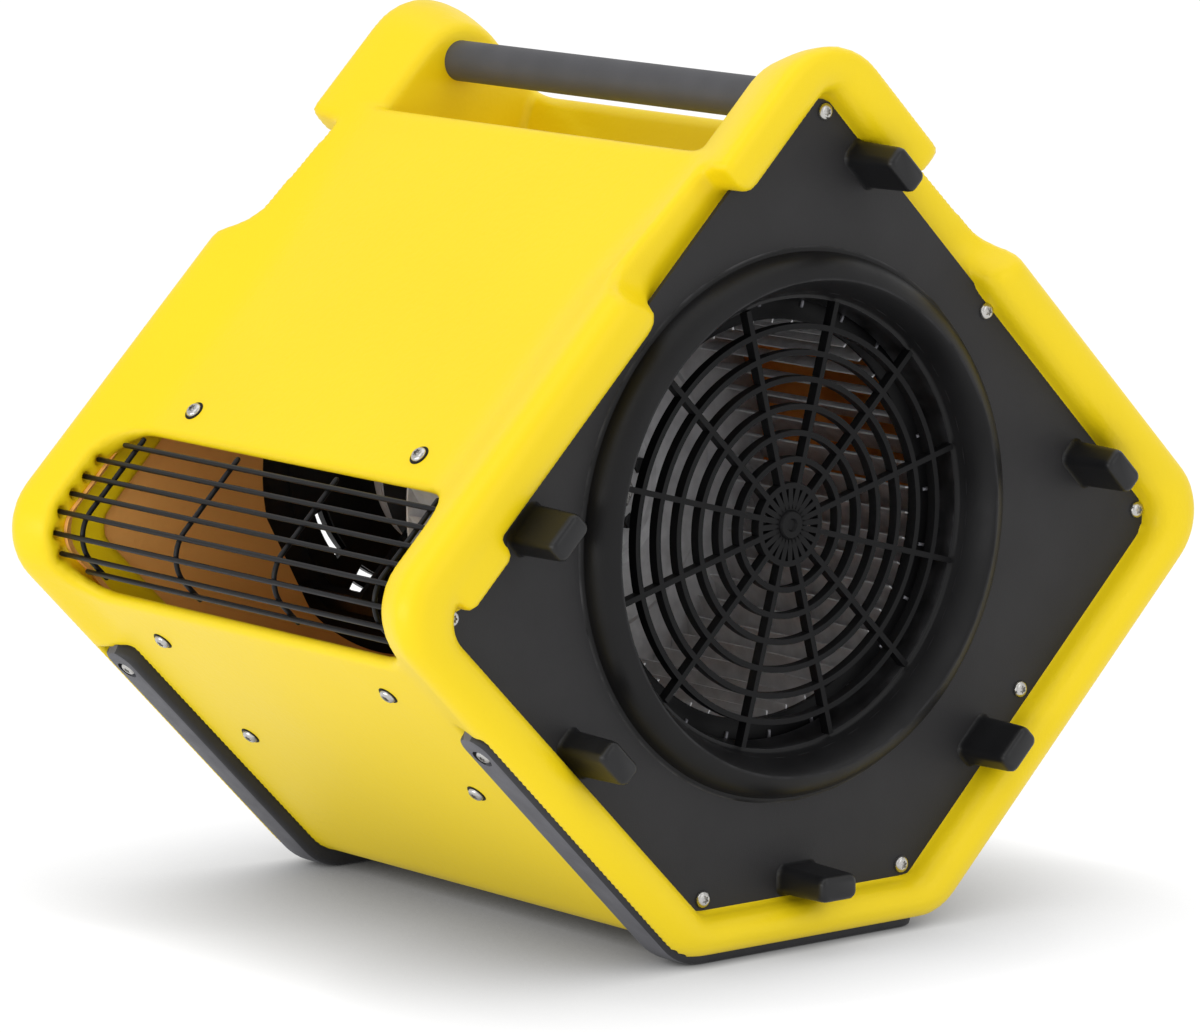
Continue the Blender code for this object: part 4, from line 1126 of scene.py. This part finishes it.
def add_controls():
    """The fluted speed knob with its pointer, four dial marks and the cable gland."""
    knob_place = Vector((0.208, 0.205))
    loops = []
    # Each station is (x, radius, fluted).
    profile = (
        (-0.168, 0.0029, 0), (-0.18, 0.0029, 0), (-0.1803, 0.0148, 0), (-0.1812, 0.0152, 0),
        (-0.183, 0.015, 1), (-0.193, 0.0142, 1), (-0.195, 0.0134, 0), (-0.196, 0.012, 0),
    )
    for x, radius, fluted in profile:
        flutes = [1 - fluted * 0.035 * (0.5 + 0.5 * cos(16 * turn)) for turn in full_turn(96)]
        loops.append([
            (x, *polar(radius * flute, turn, knob_place)) for flute, turn in zip(flutes, full_turn(96))
        ])
    body = loft("knob_body", loops)

    def placed(x, points, turn=Matrix.Identity(2)):
        return [(x, *(knob_place + turn @ Vector(point))) for point in points]

    grip = (
        (-0.1925, 0.0024, 0.0132), (-0.199, 0.0022, 0.0128), (-0.2004, 0.0017, 0.0122),
        (-0.201, 0.001, 0.0112),
    )
    grip = loft("grip", [placed(x, rounded(rectangle(a, b, 0.0009), 0.3)) for x, a, b in grip])
    knob = merged("speed_knob_moulding", [body, grip])
    finish_piece(knob, SATIN_BLACK, body="knob", stands_for=["speed_knob"], smooth=35)
    line = ((-0.0006, 0.003), (0.0006, 0.003), (0.0006, 0.011), (-0.0006, 0.011))
    pointer = loft("knob_pointer", [placed(x, line) for x in (-0.2006, -0.2012)])
    finish_piece(pointer, MARK, body="knob")
    marks = []
    for index in range(4):
        turn = Matrix.Rotation(radians(90 + 45 * index), 2)
        size = 0.0009 + 0.0004 * index
        corners = ((0.018, -size), (0.0215, -size), (0.0215, size), (0.018, size))
        marks.append(loft("mark", [placed(x, corners, turn) for x in (-0.1778, -0.17825)]))
    finish_piece(merged("speed_marks", marks), MARK)
    gland = [
        (-0.191, 0.004), (-0.191, 0.0064), (-0.1902, 0.0074), (-0.187, 0.0092), (-0.1862, 0.0096),
        (-0.186, 0.011), (-0.1783, 0.011), (-0.1783, 0.0077), (-0.165, 0.0077), (-0.165, 0.004),
    ]
    gland = revolve("gland_body", gland, centre=(0.185, 0.165), sides=48)
    finish_piece(gland, GREY, stands_for=["cable_gland"], smooth=30)


# --- stage


def add_stage():
    """A pale floor that glows like a light table, with a painted shadow: its glow is dimmed by ambient
    occlusion where the object closes off the space above it.
    """
    mesh = bpy.data.meshes.new("floor")
    half = 14.0
    mesh.from_pydata([(*corner, 0) for corner in rectangle(half, half)], [], [(0, 1, 2, 3)])
    floor = bpy.data.objects.new("floor", mesh)
    material = bpy.data.materials.new("studio_floor")
    material.use_nodes = True
    tree = material.node_tree
    shader = tree.nodes["Principled BSDF"]
    set_inputs(
        shader, Base_Color=(0.05, 0.05, 0.05, 1), Roughness=0.9, Specular_IOR_Level=0.0,
        Emission_Color=(1, 1, 1, 1),
    )
    # Painted shadow: the floor's glow is dimmed by ambient occlusion near the object.
    painted_shadow_ao = tree.nodes.new("ShaderNodeAmbientOcclusion")
    painted_shadow_ao.samples = 24
    set_inputs(painted_shadow_ao, Distance=0.155)
    painted_shadow_curve = tree.nodes.new("ShaderNodeMath")
    painted_shadow_curve.operation = "POWER"
    painted_shadow_curve.inputs[1].default_value = 0.9
    tree.links.new(painted_shadow_ao.outputs["AO"], painted_shadow_curve.inputs[0])
    tree.links.new(painted_shadow_curve.outputs["Value"], shader.inputs["Emission Strength"])
    mesh.materials.append(material)
    link(floor)


def add_light(name, place, target, size, power):
    light = bpy.data.lights.new(name, "AREA")
    light.shape = "RECTANGLE"
    light.size, light.size_y = size
    light.energy = power
    aim = (Vector(place) - Vector(target)).to_track_quat("Z", "Y")
    obj = bpy.data.objects.new(name, light)
    obj.matrix_world = Matrix.Translation(place) @ aim.to_matrix().to_4x4()
    link(obj)


def add_lights():
    target = (0, 0, 0.25)
    add_light("key", (0.6, -2.6, 2.9), target, (2.4, 2.4), 19)
    add_light("top", (0.3, 0.4, 3.2), target, (3.0, 3.0), 20)
    add_light("side", (3.2, 0.6, 1.5), target, (1.6, 2.2), 10)
    add_light("back", (-1.2, 3.0, 2.2), target, (2.4, 1.6), 8)
    add_light("fill", (0.2, -3.0, 0.3), (0, 0, 0.15), (2.8, 0.6), 22)
    world = bpy.data.worlds.new("studio")
    world.use_nodes = True
    set_inputs(world.node_tree.nodes["Background"], Color=(1, 1, 1, 1), Strength=0.84)
    SCENE.world = world
    SCENE.view_settings.view_transform = "Standard"


CAMERA_PLACE = (3.0502, -2.571, 0.8892)
CAMERA_DEGREES = (49.964, 9.357, 0.483)


def add_camera():
    azimuth, elevation, roll = (radians(value) for value in CAMERA_DEGREES)
    level = cos(elevation)
    back = Vector((sin(azimuth) * level, -cos(azimuth) * level, sin(elevation)))
    right = Vector((cos(azimuth), sin(azimuth), 0))
    up = back.cross(right)
    across = right * cos(roll) + up * sin(roll)
    above = up * cos(roll) - right * sin(roll)
    camera = bpy.data.cameras.new("camera")
    camera.lens = 201.085
    camera.sensor_width = 36
    camera.sensor_fit = "HORIZONTAL"
    camera.clip_end = 50
    obj = bpy.data.objects.new("camera", camera)
    obj.matrix_world = Matrix([*zip(across, above, back, CAMERA_PLACE), (0, 0, 0, 1)])
    link(obj)
    SCENE.camera = obj


add_housing()
add_volute()
add_volute_end_wall()
add_guards()
add_motor_baffle()
add_collar()
add_feet()
add_screws()
add_handle()
add_skids()
add_grille()
add_impeller()
add_motor()
dress_cad_nodes()
add_controls()
add_stage()
add_lights()
add_camera()
